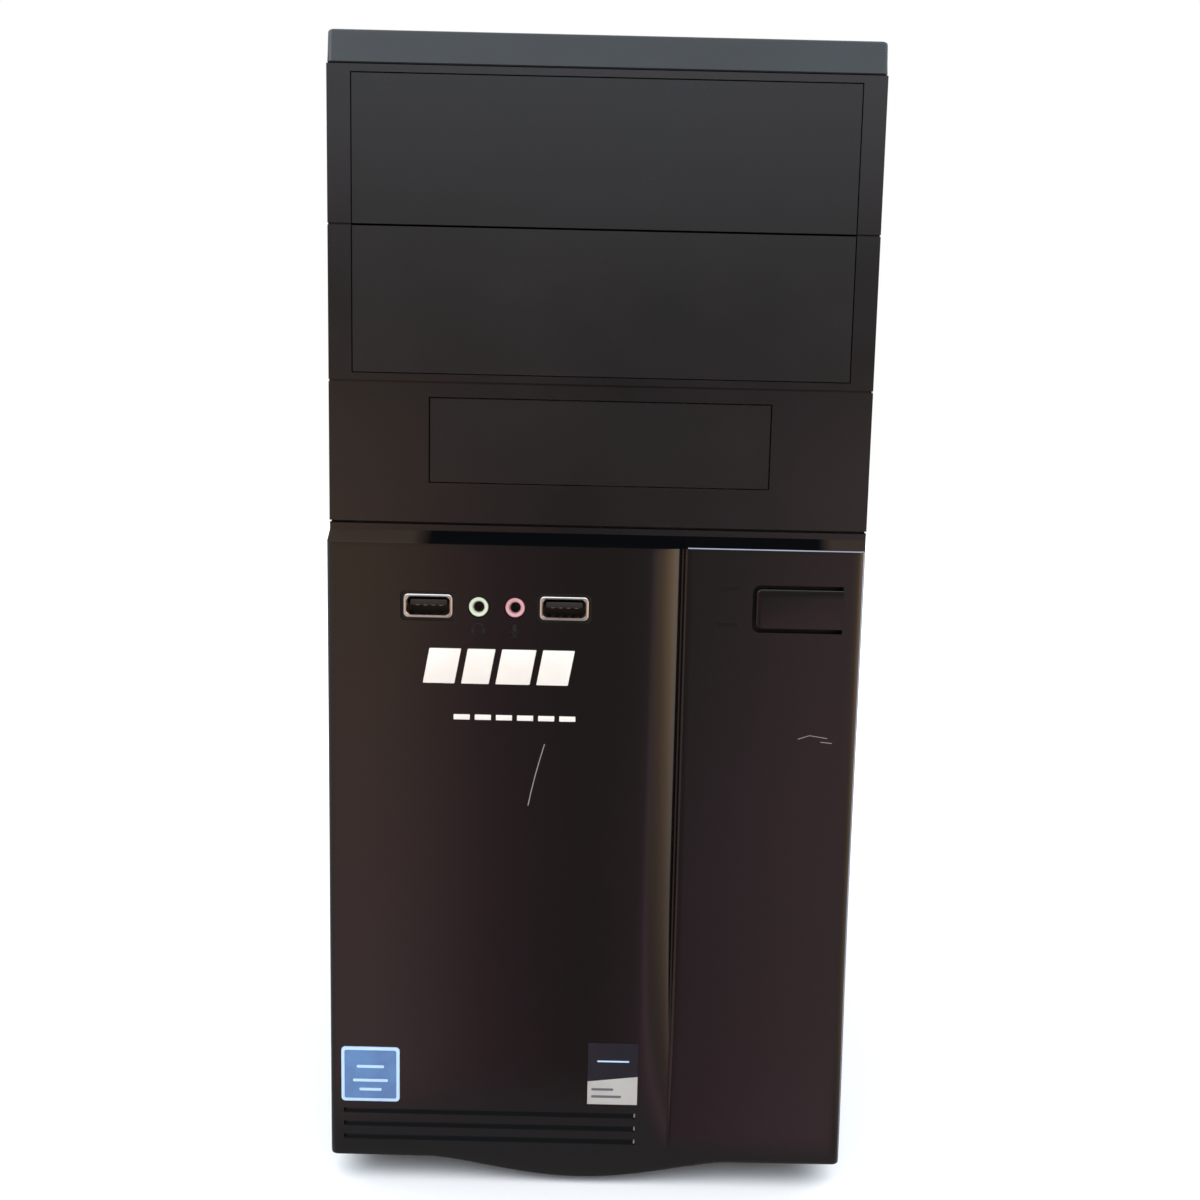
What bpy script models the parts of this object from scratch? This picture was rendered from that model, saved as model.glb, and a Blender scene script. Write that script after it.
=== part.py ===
"""Mini tower desktop computer, built as an assembly of separate parts.

Frame: +X is the viewer's right when facing the front, +Y runs to the back, +Z is up.
The origin is on the floor, under the middle of the case.
Lengths below are in millimetres. MM turns them into metres where a shape is made.
"""

import math

import bmesh
import bpy
from mathutils import Matrix, Vector

MM = 0.001
GAP = 0.3  # clearance between neighbouring parts

# Overall size
HALF_WIDTH = 81.5
TOP = 352.0
FRONT = -184.0
BACK = 184.9

# Steel body
SHEET = 1.0
COVER_X = 80.5  # outer face of the side covers
COVER_FLANGE = 10.0
WALL_X = 79.2  # half width of the front and rear walls
PAN_X = 79.0
FLOOR = 8.3  # underside of the base pan
CEILING = 350.7
FRONT_WALL = -152.0  # front face of the steel front wall
REAR_WALL = 174.2  # outer face of the steel rear wall
PAN_LIP = 5.5
TOP_LIP = 2.4
FOOT_HEIGHT = 8.0
FOOT_RADIUS = 9.0
FOOT_X = 60.0
FOOT_Y = (-130.0, 150.0)

# Front mouldings
BEZEL_BACK = FRONT_WALL - GAP
UPPER_FACE = -178.0  # front face of the upper, matte moulding
RIGHT_FACE = -180.5  # front face of the gloss fascia right of the step
BEZEL_WALL = 2.4
CAP_BOTTOM = 342.2
UPPER_BOTTOM = 210.2
FASCIA_TOP = 209.7
FASCIA_SHOULDER = 204.4
FASCIA_BOTTOM = 8.0
LIP_DROP = 5.8  # how far the lower edge bows down in the middle
LIP_CENTRE = -2.0
LIP_HALF_WIDTH = 47.0
GROOVE_X = (-72.5, 16.0)
GROOVE_Z = (23.5, 19.1, 14.7)
GROOVE_DEPTH = 1.5
STEP_START = 16.5
STEP_END = 26.5

# Drive bays: 5.25 inch and 3.5 inch openings
WIDE_BAY_X = 74.6
WIDE_BAY_HEIGHT = 42.8
WIDE_BAY_TOP = 339.8
SMALL_BAY_X = 51.5
SMALL_BAY_Z = (222.0, 247.5)
COVER_DEPTH = 12.0
SEAM_Z = (251.8, 297.0)
SEAM_DEPTH = 0.9

# Front sockets, indicators and power button
PORT_Z = 185.2
USB_X = (-50.7, -9.6)
USB_OUTER = (14.6, 7.0)
USB_INNER = (12.4, 4.9)
JACK_X = (-35.4, -24.4)
JACK_RADIUS = 3.2
JACK_BORE = 1.8
LED_X = 40.0
LED_Z = (192.3, 181.3)
LED_SIZE = (6.4, 1.4)
BUTTON_X = (48.7, 75.0)
BUTTON_Z = (180.1, 192.2)
BUTTON_SLOT = 1.1
BUTTON_HINGE_Y = RIGHT_FACE + 3.5
BUTTON_THICKNESS = 2.0
BUTTON_PIN = 0.9
IO_BOARD_Y = (-164.0, -162.4)

# Power supply
PSU_LOW = (-74.0, 33.0, 262.0)
PSU_HIGH = (76.0, 172.9, 348.0)
PSU_FAN = (-27.0, 305.0)
INLET = (47.0, 292.0)
INLET_SIZE = (27.6, 20.0)

# Motherboard
BOARD_FACE = 62.4  # component side, facing -X
BOARD_BACK = 64.0
BOARD_Y = (-37.0, 168.0)
BOARD_Z = (12.0, 252.0)
TRAY_X = 70.0
STANDOFFS = [(y, z) for y in (160.0, 70.0, -30.0) for z in (20.0, 130.0, 244.0)]
COOLER = (85.0, 205.0)
IO_WINDOW_X = (17.6, 64.0)
IO_WINDOW_Z = (98.0, 256.75)
PORT_FRONT = 158.0
PORT_BACK = 175.2
SLOT_Z = [85.2 - 20.32 * i for i in range(4)]

# Fans
REAR_FAN = (-31.5, 208.0)
FAN_SIZE = 80.0
FAN_DEPTH = 25.0
FAN_BORE = 38.0
FAN_HUB = 15.0
FAN_TIP = 36.0
SPINDLE = 1.6
BEARING_BORE = 1.72

CIRCLE_SIDES = 24
SMALL_SIDES = 12
SCREW_X = 76.3
SCREW_Z = (300.0, 60.0)


# ---------------------------------------------------------------- scene and materials
def clear_scene():
    for obj in list(bpy.data.objects):
        bpy.data.objects.remove(obj)


def new_collection(name):
    collection = bpy.data.collections.new(name)
    bpy.context.scene.collection.children.link(collection)
    return collection


def new_material(name, colour, roughness, metallic=0.0):
    material = bpy.data.materials.new(name)
    material.use_nodes = True
    shader = material.node_tree.nodes["Principled BSDF"]
    shader.inputs["Base Color"].default_value = (*colour, 1.0)
    shader.inputs["Roughness"].default_value = roughness
    shader.inputs["Metallic"].default_value = metallic
    material.diffuse_color = (*colour, 1.0)
    return material


clear_scene()
parts = new_collection("desktop_computer_tower")
cutters = new_collection("cutters")

matte_black = new_material("matte_black_plastic", (0.022, 0.022, 0.023), 0.55)
gloss_black = new_material("gloss_black_plastic", (0.012, 0.010, 0.011), 0.08)
painted_steel = new_material("painted_black_steel", (0.018, 0.018, 0.019), 0.45, 0.0)
bare_steel = new_material("zinc_plated_steel", (0.55, 0.56, 0.57), 0.38, 1.0)
nickel = new_material("nickel_plate", (0.72, 0.71, 0.69), 0.2, 1.0)
aluminium = new_material("aluminium", (0.75, 0.76, 0.77), 0.35, 1.0)
board_green = new_material("circuit_board", (0.02, 0.10, 0.055), 0.45)
dark_plastic = new_material("dark_plastic", (0.02, 0.02, 0.02), 0.5)
rubber = new_material("rubber", (0.012, 0.012, 0.012), 0.8)
mint = new_material("mint_plastic", (0.42, 0.62, 0.38), 0.4)
pink = new_material("pink_plastic", (0.68, 0.30, 0.36), 0.4)
smoked = new_material("smoked_plastic", (0.01, 0.01, 0.012), 0.15)
silver = new_material("satin_silver", (0.72, 0.69, 0.62), 0.35, 0.8)
blue_label = new_material("blue_label", (0.07, 0.22, 0.50), 0.35)
grey_label = new_material("grey_label", (0.62, 0.60, 0.57), 0.5)
cable_black = new_material("cable_black", (0.015, 0.015, 0.015), 0.6)
cable_red = new_material("cable_red", (0.45, 0.02, 0.02), 0.45)


# ---------------------------------------------------------------- shape helpers
def add_object(name, mesh, at, material, collection=None):
    """Links a new object whose mesh is in millimetres about its own origin."""
    mesh.transform(Matrix.Scale(MM, 4))
    obj = bpy.data.objects.new(name, mesh)
    obj.location = Vector(at) * MM
    if material:
        mesh.materials.append(material)
    (collection or parts).objects.link(obj)
    return obj


def mesh_from(bm, name):
    bmesh.ops.recalc_face_normals(bm, faces=bm.faces)
    mesh = bpy.data.meshes.new(name)
    bm.to_mesh(mesh)
    bm.free()
    return mesh


def smooth(obj, angle=35.0):
    obj.data.shade_smooth()
    obj.data.set_sharp_from_angle(angle=math.radians(angle))
    return obj


def as_helper(obj):
    """Turns an object into a cutter or joiner, which isn't a part itself."""
    obj.hide_render = True
    obj.display_type = "WIRE"
    for collection in list(obj.users_collection):
        collection.objects.unlink(obj)
    cutters.objects.link(obj)
    return obj


def cuboid(name, low, high, material=None, bevel=0.0):
    """A box between two corners, its origin at its centre."""
    low, high = Vector(low), Vector(high)
    bm = bmesh.new()
    bmesh.ops.create_cube(bm, size=1.0, matrix=Matrix.Diagonal((*(high - low), 1.0)))
    obj = add_object(name, mesh_from(bm, name), (low + high) / 2, material)
    if bevel:
        round_edges(obj, bevel)
    return obj


def round_edges(obj, width, segments=2):
    modifier = obj.modifiers.new("rounded edges", "BEVEL")
    modifier.width = width * MM
    modifier.segments = segments
    modifier.limit_method = "ANGLE"
    return modifier


AXIS_TURN = {
    "X": (0.0, math.pi / 2, 0.0),
    "Y": (-math.pi / 2, 0.0, 0.0),
    "Z": (0.0, 0.0, 0.0),
}


def cylinder(name, base, axis, radius, length, sides=CIRCLE_SIDES, material=None, tip=None):
    """A cylinder or cone that grows from the point base along +axis. Its origin is at base."""
    bm = bmesh.new()
    bmesh.ops.create_cone(
        bm,
        cap_ends=True,
        segments=sides,
        radius1=radius,
        radius2=radius if tip is None else tip,
        depth=length,
        matrix=Matrix.Translation((0.0, 0.0, length / 2)),
    )
    obj = add_object(name, mesh_from(bm, name), base, material)
    obj.rotation_euler = AXIS_TURN[axis]
    return smooth(obj)


FACE_NORMALS = {
    "-X": Vector((-1, 0, 0)),
    "+X": Vector((1, 0, 0)),
    "-Y": Vector((0, -1, 0)),
    "+Y": Vector((0, 1, 0)),
    "-Z": Vector((0, 0, -1)),
    "+Z": Vector((0, 0, 1)),
}


def folded_sheet(name, low, high, open_faces, wall, material):
    """A box of thin wall between two outer corners, without its open faces."""
    low, high = Vector(low), Vector(high)
    bm = bmesh.new()
    bmesh.ops.create_cube(bm, size=1.0, matrix=Matrix.Diagonal((*(high - low), 1.0)))
    bmesh.ops.recalc_face_normals(bm, faces=bm.faces)
    missing = [
        face
        for face in bm.faces
        if any(face.normal.dot(FACE_NORMALS[side]) > 0.9 for side in open_faces)
    ]
    bmesh.ops.delete(bm, geom=missing, context="FACES")
    mesh = bpy.data.meshes.new(name)
    bm.to_mesh(mesh)
    bm.free()
    obj = add_object(name, mesh, (low + high) / 2, material)
    modifier = obj.modifiers.new("sheet", "SOLIDIFY")
    modifier.thickness = wall * MM
    modifier.offset = -1.0
    modifier.use_even_offset = True
    return obj


def rectangle(x0, x1, y0, y1):
    return [(x0, y0), (x1, y0), (x1, y1), (x0, y1)]


def circle(x, y, radius, sides=SMALL_SIDES):
    turn = 2 * math.pi / sides
    return [(x + radius * math.cos(i * turn), y + radius * math.sin(i * turn)) for i in range(sides)]


def arc_slot(x, y, inner, outer, start, end, steps=4):
    """The outline of a slot between two radii and two angles in degrees."""
    angles = [math.radians(start + (end - start) * i / steps) for i in range(steps + 1)]
    outside = [(x + outer * math.cos(a), y + outer * math.sin(a)) for a in angles]
    inside = [(x + inner * math.cos(a), y + inner * math.sin(a)) for a in reversed(angles)]
    return outside + inside


def fan_grille(x, y):
    """Ring slots stamped in sheet metal in front of a fan."""
    slots = []
    for inner, outer in ((16.0, 22.0), (24.0, 30.0), (32.0, 37.5)):
        for quarter in range(4):
            start = 45.0 + 90.0 * quarter + 5.0
            slots.append(arc_slot(x, y, inner, outer, start, start + 80.0))
    return slots


PLANE_TURN = {
    "XZ": (math.pi / 2, 0.0, 0.0),  # a flat shape seen from the front
    "YZ": (math.pi / 2, 0.0, math.pi / 2),  # a flat shape seen from the side
    "XY": (0.0, 0.0, 0.0),
}


def plate(name, outline, holes, thickness, plane, at, material=None):
    """A flat shape of even thickness, centred on the point at, with any number of holes."""
    curve = bpy.data.curves.new(name, "CURVE")
    curve.dimensions = "2D"
    curve.fill_mode = "BOTH"
    curve.extrude = thickness / 2
    for loop in [outline, *holes]:
        spline = curve.splines.new("POLY")
        spline.points.add(len(loop) - 1)
        for point, (x, y) in zip(spline.points, loop):
            point.co = (x, y, 0.0, 1.0)
        spline.use_cyclic_u = True
    drawn = bpy.data.objects.new(name, curve)
    parts.objects.link(drawn)
    drawn.rotation_euler = PLANE_TURN[plane]
    bpy.context.view_layer.update()
    turn = drawn.matrix_world.copy()
    graph = bpy.context.evaluated_depsgraph_get()
    mesh = bpy.data.meshes.new_from_object(drawn.evaluated_get(graph))
    bpy.data.objects.remove(drawn)
    bpy.data.curves.remove(curve)
    bm = bmesh.new()
    bm.from_mesh(mesh)
    bmesh.ops.remove_doubles(bm, verts=bm.verts, dist=0.001)
    bmesh.ops.recalc_face_normals(bm, faces=bm.faces)
    bm.to_mesh(mesh)
    bm.free()
    obj = add_object(name, mesh, at, material)
    obj.rotation_euler = turn.to_euler()
    return obj


def boolean(obj, tool, operation):
    modifier = obj.modifiers.new(operation.lower(), "BOOLEAN")
    modifier.operation = operation
    modifier.solver = "EXACT"
    modifier.object = as_helper(tool)
    return obj


def cut(obj, *tools):
    for tool in tools:
        boolean(obj, tool, "DIFFERENCE")
    return obj


def join(obj, *tools):
    for tool in tools:
        boolean(obj, tool, "UNION")
    return obj


def copies(name, shapes):
    """Several separate closed shapes in one helper mesh, so that one Boolean uses them all."""
    bm = bmesh.new()
    for shape in shapes:
        shape.data.transform(shape.matrix_basis)
        bm.from_mesh(shape.data)
        bpy.data.objects.remove(shape)
    mesh = bpy.data.meshes.new(name)
    bm.to_mesh(mesh)
    bm.free()
    obj = bpy.data.objects.new(name, mesh)
    parts.objects.link(obj)
    return as_helper(obj)


def place(obj):
    """Gives an object's basis matrix its location and rotation before copies() reads it."""
    bpy.context.view_layer.update()
    return obj


def box_tools(name, boxes):
    """One helper made of several boxes that don't touch each other."""
    return copies(name, [place(cuboid(name, low, high)) for low, high in boxes])


def tube(name, points, radius, material, sides=2):
    """A round cable through hand-placed points, smoothed into short straight pieces."""
    guide = [Vector(p) for p in points]
    line = []
    steps = 5
    for i in range(len(guide) - 1):
        before = guide[max(i - 1, 0)]
        start, end = guide[i], guide[i + 1]
        after = guide[min(i + 2, len(guide) - 1)]
        for k in range(steps):
            t = k / steps
            line.append(
                0.5
                * (
                    2 * start
                    + (end - before) * t
                    + (2 * before - 5 * start + 4 * end - after) * t**2
                    + (3 * start - before - 3 * end + after) * t**3
                )
            )
    line.append(guide[-1])
    curve = bpy.data.curves.new(name, "CURVE")
    curve.dimensions = "3D"
    curve.bevel_depth = radius * MM
    curve.bevel_resolution = sides
    curve.use_fill_caps = True
    spline = curve.splines.new("POLY")
    spline.points.add(len(line) - 1)
    for point, position in zip(spline.points, line):
        point.co = (*(position * MM), 1.0)
    curve.materials.append(material)
    obj = bpy.data.objects.new(name, curve)
    parts.objects.link(obj)
    return obj


# ---------------------------------------------------------------- steel body
def make_base_pan():
    pan = folded_sheet(
        "base_pan",
        (-PAN_X, FRONT_WALL + SHEET + GAP, FLOOR),
        (PAN_X, REAR_WALL - SHEET - GAP, FLOOR + PAN_LIP),
        ["+Z"],
        SHEET,
        bare_steel,
    )
    vents = [
        ((x - 2.0, y, FLOOR - 2.0), (x + 2.0, y + 34.0, FLOOR + 3.0))
        for y in (-95.0, -50.0)
        for x in range(-45, 46, 15)
    ]
    return cut(pan, box_tools("base_vents", vents))


def make_top_plate():
    return folded_sheet(
        "top_plate",
        (-PAN_X, FRONT_WALL + SHEET + GAP, CEILING - TOP_LIP),
        (PAN_X, REAR_WALL - SHEET - GAP, CEILING),
        ["-Z"],
        SHEET,
        painted_steel,
    )


def make_rear_wall():
    outline = rectangle(-WALL_X, WALL_X, FLOOR, CEILING)
    holes = [
        rectangle(-69.0, 69.0, 266.0, 344.0),
        rectangle(*IO_WINDOW_X, *IO_WINDOW_Z),
        *fan_grille(*REAR_FAN),
        *[rectangle(-42.0, 60.0, z - 6.5, z + 6.5) for z in SLOT_Z],
        *[circle(side * SCREW_X, z, 2.3, 8) for side in (-1, 1) for z in SCREW_Z],
    ]
    return plate(
        "rear_wall", outline, holes, SHEET, "XZ", (0, REAR_WALL - SHEET / 2, 0), bare_steel
    )


def make_front_wall():
    outline = rectangle(-WALL_X, WALL_X, FLOOR, CEILING)
    intake = [
        rectangle(x - 3.5, x + 3.5, z - 12.0, z + 12.0)
        for z in (40.0, 72.0, 104.0)
        for x in range(-60, 61, 15)
    ]
    holes = [
        rectangle(-74.0, 74.0, 256.0, 338.0),
        rectangle(-51.0, 51.0, 222.5, 247.0),
        rectangle(-20.0, 20.0, 138.0, 160.0),
        *intake,
    ]
    return plate(
        "front_wall", outline, holes, SHEET, "XZ", (0, FRONT_WALL + SHEET / 2, 0), bare_steel
    )


def make_motherboard_tray():
    tray = folded_sheet(
        "motherboard_tray", (TRAY_X, -149.3, 9.8), (77.6, 171.5, 251.0), ["+X"], SHEET, bare_steel
    )
    cut(
        tray,
        box_tools(
            "tray_openings",
            [
                ((TRAY_X - 5, 60.0, 175.0), (TRAY_X + 5, 112.0, 232.0)),
                ((TRAY_X - 5, -110.0, 60.0), (TRAY_X + 5, -80.0, 150.0)),
            ],
        ),
    )
    posts = [
        place(
            cylinder(
                "post", (BOARD_BACK + GAP, y, z), "X", 2.6, TRAY_X - BOARD_BACK - GAP + 0.5, 6
            )
        )
        for y, z in STANDOFFS
    ]
    return join(tray, copies("board_standoffs", posts))


def make_side_cover(name, side, material):
    """A cover wrapped over the top and bottom edges, with a rear flange for its screws."""
    outer, inner = side * COVER_X, side * (COVER_X - COVER_FLANGE)
    cover = folded_sheet(
        name,
        (min(outer, inner), FRONT_WALL + GAP, FLOOR - GAP - SHEET),
        (max(outer, inner), REAR_WALL + GAP + SHEET, CEILING + GAP + SHEET),
        ["-Y", "+X" if side < 0 else "-X"],
        SHEET,
        material,
    )
    holes = [
        place(cylinder("hole", (side * SCREW_X, REAR_WALL - 3, z), "Y", 2.3, 8.0, 8))
        for z in SCREW_Z
    ]
    return cut(cover, copies(name + "_screw_holes", holes))


def make_left_cover():
    cover = make_side_cover("left_side_cover", -1, painted_steel)
    slots = []
    for column in range(9):
        y = 52.0 + 8.0 * column
        for z in (178.0, 206.0):
            slots.append(((-COVER_X - 2, y - 1.6, z), (-COVER_X + 4, y + 1.6, z + 24.0)))
    return cut(cover, box_tools("cover_vents", slots))


def make_thumb_screw(name, z):
    head_start = REAR_WALL + GAP + SHEET + GAP
    head = cylinder(
        name, (-SCREW_X, head_start, z), "Y", 5.0, BACK - head_start, 16, nickel
    )
    shank = cylinder("shank", (-SCREW_X, REAR_WALL - 6.0, z), "Y", 1.75, 10.0, 8)
    return join(head, shank)


def make_feet():
    for y, depth_name in zip(FOOT_Y, ("front", "rear")):
        for side, side_name in ((-1, "left"), (1, "right")):
            cylinder(
                f"foot_{depth_name}_{side_name}",
                (side * FOOT_X, y, 0.0),
                "Z",
                FOOT_RADIUS - 1.2,
                FOOT_HEIGHT,
                16,
                rubber,
                tip=FOOT_RADIUS,
            )


# ---------------------------------------------------------------- drive bays
def make_bay_cages():
    cage = folded_sheet(
        "optical_bay_cage",
        (-75.9, FRONT_WALL + 1.6, 252.9),
        (75.9, 20.0, 340.5),
        ["-Y", "+Y", "+Z"],
        SHEET,
        bare_steel,
    )
    slots = [
        ((-80.0, y, z), (80.0, y + 18.0, z + 4.0))
        for y in (-120.0, -60.0, -10.0)
        for z in (268.0, 311.0)
    ]
    cut(cage, box_tools("cage_slots", slots))
    lower = folded_sheet(
        "hard_drive_cage",
        (-53.0, FRONT_WALL + 1.6, 178.0),
        (53.0, -4.0, 252.6),
        ["-Y", "+Y", "+Z"],
        SHEET,
        bare_steel,
    )
    windows = [((-60.0, y, 196.0), (60.0, y + 30.0, 200.0)) for y in (-130.0, -80.0, -40.0)]
    return cut(lower, box_tools("drive_windows", windows))


def make_hard_drive():
    drive = cuboid("hard_drive", (-50.8, -147.0, 181.0), (50.8, -2.0, 207.1), aluminium)
    lid_recess = cuboid("lid_recess", (-46.0, -140.0, 206.1), (46.0, -20.0, 210.0))
    socket = cuboid("drive_socket", (-10.0, -8.0, 177.0), (38.0, 2.0, 187.5))
    return cut(drive, lid_recess, socket)


# ---------------------------------------------------------------- front mouldings
def lip_height(x):
    """Height of the fascia's lower edge, which bows down in the middle."""
    t = (x - LIP_CENTRE) / LIP_HALF_WIDTH
    if abs(t) >= 1.0:
        return FASCIA_BOTTOM
    return FASCIA_BOTTOM - LIP_DROP * (0.5 + 0.5 * math.cos(math.pi * t)) ** 0.7


def fascia_profile():
    """The fascia seen from above, from its left rear edge round to its right rear edge."""
    left, right = FRONT, RIGHT_FACE
    corner = 2.4
    lip = [LIP_CENTRE + LIP_HALF_WIDTH * i / 6 for i in range(-6, 7)]
    steps = [
        (STEP_START, left),
        (STEP_START + 6.0, left + 1.1),
        (STEP_END, right),
    ]
    face = [(x, left) for x in lip if x < STEP_START - 1]
    face += steps
    face += [(x, right) for x in lip if x > STEP_END + 1]
    return [
        (-HALF_WIDTH, BEZEL_BACK),
        (-HALF_WIDTH, left + corner),
        (-HALF_WIDTH + 0.7, left + 0.7),
        (-HALF_WIDTH + corner, left),
        *face,
        (HALF_WIDTH - corner, right),
        (HALF_WIDTH - 0.7, right + 0.7),
        (HALF_WIDTH, right + corner),
        (HALF_WIDTH, BEZEL_BACK),
    ]


def loft_sheet(name, rows, wall, material):
    """An open skin through rows of points, each row as long as the others, thickened inwards."""
    bm = bmesh.new()
    grid = [[bm.verts.new(point) for point in row] for row in rows]
    for lower, upper in zip(grid, grid[1:]):
        for i in range(len(lower) - 1):
            bm.faces.new((lower[i], lower[i + 1], upper[i + 1], upper[i]))
    mesh = bpy.data.meshes.new(name)
    bm.to_mesh(mesh)
    bm.free()
    obj = add_object(name, mesh, (0, 0, 0), material)
    modifier = obj.modifiers.new("wall", "SOLIDIFY")
    modifier.thickness = wall * MM
    modifier.offset = -1.0
    modifier.use_even_offset = True
    return obj


def make_gloss_fascia():
    profile = fascia_profile()
    shoulder_back = UPPER_FACE + 3.0
    rows = [
        [(x, y, lip_height(x)) for x, y in profile],
        [(x, y, FASCIA_SHOULDER) for x, y in profile],
        [(x, max(y, shoulder_back), FASCIA_TOP) for x, y in profile],
    ]
    fascia = loft_sheet("gloss_fascia", rows, BEZEL_WALL, gloss_black)
    deep, shallow = FRONT - 5, UPPER_FACE + 8
    half_w, half_h = USB_OUTER[0] / 2 + 0.8, USB_OUTER[1] / 2 + 0.8
    openings = [
        ((x - half_w, deep, PORT_Z - half_h), (x + half_w, shallow, PORT_Z + half_h)) for x in USB_X
    ]
    openings += [
        (
            (LED_X - LED_SIZE[0] / 2 - GAP, deep, z - LED_SIZE[1] / 2 - GAP),
            (LED_X + LED_SIZE[0] / 2 + GAP, shallow, z + LED_SIZE[1] / 2 + GAP),
        )
        for z in LED_Z
    ]
    openings.append(
        (
            (BUTTON_X[0] - BUTTON_SLOT, deep, BUTTON_Z[0] - BUTTON_SLOT),
            (BUTTON_X[1] + 0.4, shallow, BUTTON_Z[1] + BUTTON_SLOT),
        )
    )
    cut(fascia, box_tools("fascia_openings", openings))
    grooves = [
        ((GROOVE_X[0], deep, z - 0.9), (GROOVE_X[1], FRONT + GROOVE_DEPTH, z + 0.9))
        for z in GROOVE_Z
    ]
    cut(fascia, box_tools("fascia_grooves", grooves))
    jacks = [
        place(
            cylinder("hole", (x, deep, PORT_Z), "Y", JACK_RADIUS + GAP, shallow - deep, SMALL_SIDES)
        )
        for x in JACK_X
    ]
    return cut(fascia, copies("fascia_jack_holes", jacks))


def make_upper_mouldings():
    frame = folded_sheet(
        "bezel_frame",
        (-HALF_WIDTH, UPPER_FACE, UPPER_BOTTOM),
        (HALF_WIDTH, BEZEL_BACK, CAP_BOTTOM - GAP),
        ["+Y"],
        BEZEL_WALL - 0.3,
        matte_black,
    )
    bay_bottom = WIDE_BAY_TOP - 2 * WIDE_BAY_HEIGHT
    cut(
        frame,
        box_tools(
            "bay_openings",
            [
                (
                    (-WIDE_BAY_X, UPPER_FACE - 5, bay_bottom),
                    (WIDE_BAY_X, UPPER_FACE + 8, WIDE_BAY_TOP),
                ),
                (
                    (-SMALL_BAY_X, UPPER_FACE - 5, SMALL_BAY_Z[0]),
                    (SMALL_BAY_X, UPPER_FACE + 8, SMALL_BAY_Z[1]),
                ),
            ],
        ),
        box_tools(
            "seam_grooves",
            [
                ((-85.0, UPPER_FACE - 5, z - 0.3), (85.0, UPPER_FACE + SEAM_DEPTH, z + 0.3))
                for z in SEAM_Z
            ],
        ),
    )
    folded_sheet(
        "top_cap",
        (-HALF_WIDTH, UPPER_FACE, CAP_BOTTOM),
        (HALF_WIDTH, BEZEL_BACK, TOP),
        ["+Y", "-Z"],
        BEZEL_WALL,
        matte_black,
    )
    for index, name in enumerate(("bay_cover_upper", "bay_cover_lower")):
        top = WIDE_BAY_TOP - index * WIDE_BAY_HEIGHT
        make_bay_cover(name, WIDE_BAY_X, top - WIDE_BAY_HEIGHT, top, 0.2)
    make_bay_cover("bay_cover_small", SMALL_BAY_X, *SMALL_BAY_Z, 0.6)


def make_bay_cover(name, half_width, bottom, top, recess):
    folded_sheet(
        name,
        (-half_width + GAP, UPPER_FACE + recess, bottom + GAP),
        (half_width - GAP, UPPER_FACE + recess + COVER_DEPTH, top - GAP),
        ["+Y"],
        2.0,
        matte_black,
    )


# ---------------------------------------------------------------- front sockets and controls
def make_front_sockets():
    board_front = IO_BOARD_Y[0]
    for x, name in zip(USB_X, ("front_usb_left", "front_usb_right")):
        socket = cuboid(
            name,
            (x - USB_OUTER[0] / 2, FRONT + 0.3, PORT_Z - USB_OUTER[1] / 2),
            (x + USB_OUTER[0] / 2, board_front - GAP, PORT_Z + USB_OUTER[1] / 2),
            nickel,
        )
        mouth = cuboid(
            "mouth",
            (x - USB_INNER[0] / 2, FRONT - 3, PORT_Z - USB_INNER[1] / 2),
            (x + USB_INNER[0] / 2, board_front - 2, PORT_Z + USB_INNER[1] / 2),
        )
        cut(socket, mouth)
    names = ("headphone_jack", "microphone_jack")
    for x, name, material in zip(JACK_X, names, (mint, pink)):
        length = board_front - GAP - FRONT - 0.2
        jack = cylinder(
            name, (x, FRONT + 0.2, PORT_Z), "Y", JACK_RADIUS, length, SMALL_SIDES, material
        )
        bore = cylinder("bore", (x, FRONT - 3, PORT_Z), "Y", JACK_BORE, 15.0, SMALL_SIDES)
        cut(jack, bore)


def make_indicators():
    for z, name in zip(LED_Z, ("power_indicator", "drive_indicator")):
        cuboid(
            name,
            (LED_X - LED_SIZE[0] / 2, RIGHT_FACE + 0.1, z - LED_SIZE[1] / 2),
            (LED_X + LED_SIZE[0] / 2, IO_BOARD_Y[0] - GAP, z + LED_SIZE[1] / 2),
            smoked,
        )


def make_front_board():
    board = cuboid(
        "front_io_board",
        (-64.0, IO_BOARD_Y[0], 174.0),
        (78.0, IO_BOARD_Y[1], 200.0),
        board_green,
    )
    switch = cuboid("switch", (55.0, -169.0, 183.0), (61.0, -163.0, 189.0))
    posts = [
        place(cylinder("post", (x, -163.0, z), "Y", 2.5, BEZEL_BACK + 163.0, 8))
        for x, z in ((-30.0, 196.0), (-30.0, 177.0), (70.0, 196.0), (70.0, 177.0))
    ]
    return join(board, switch, copies("board_posts", posts))


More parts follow.
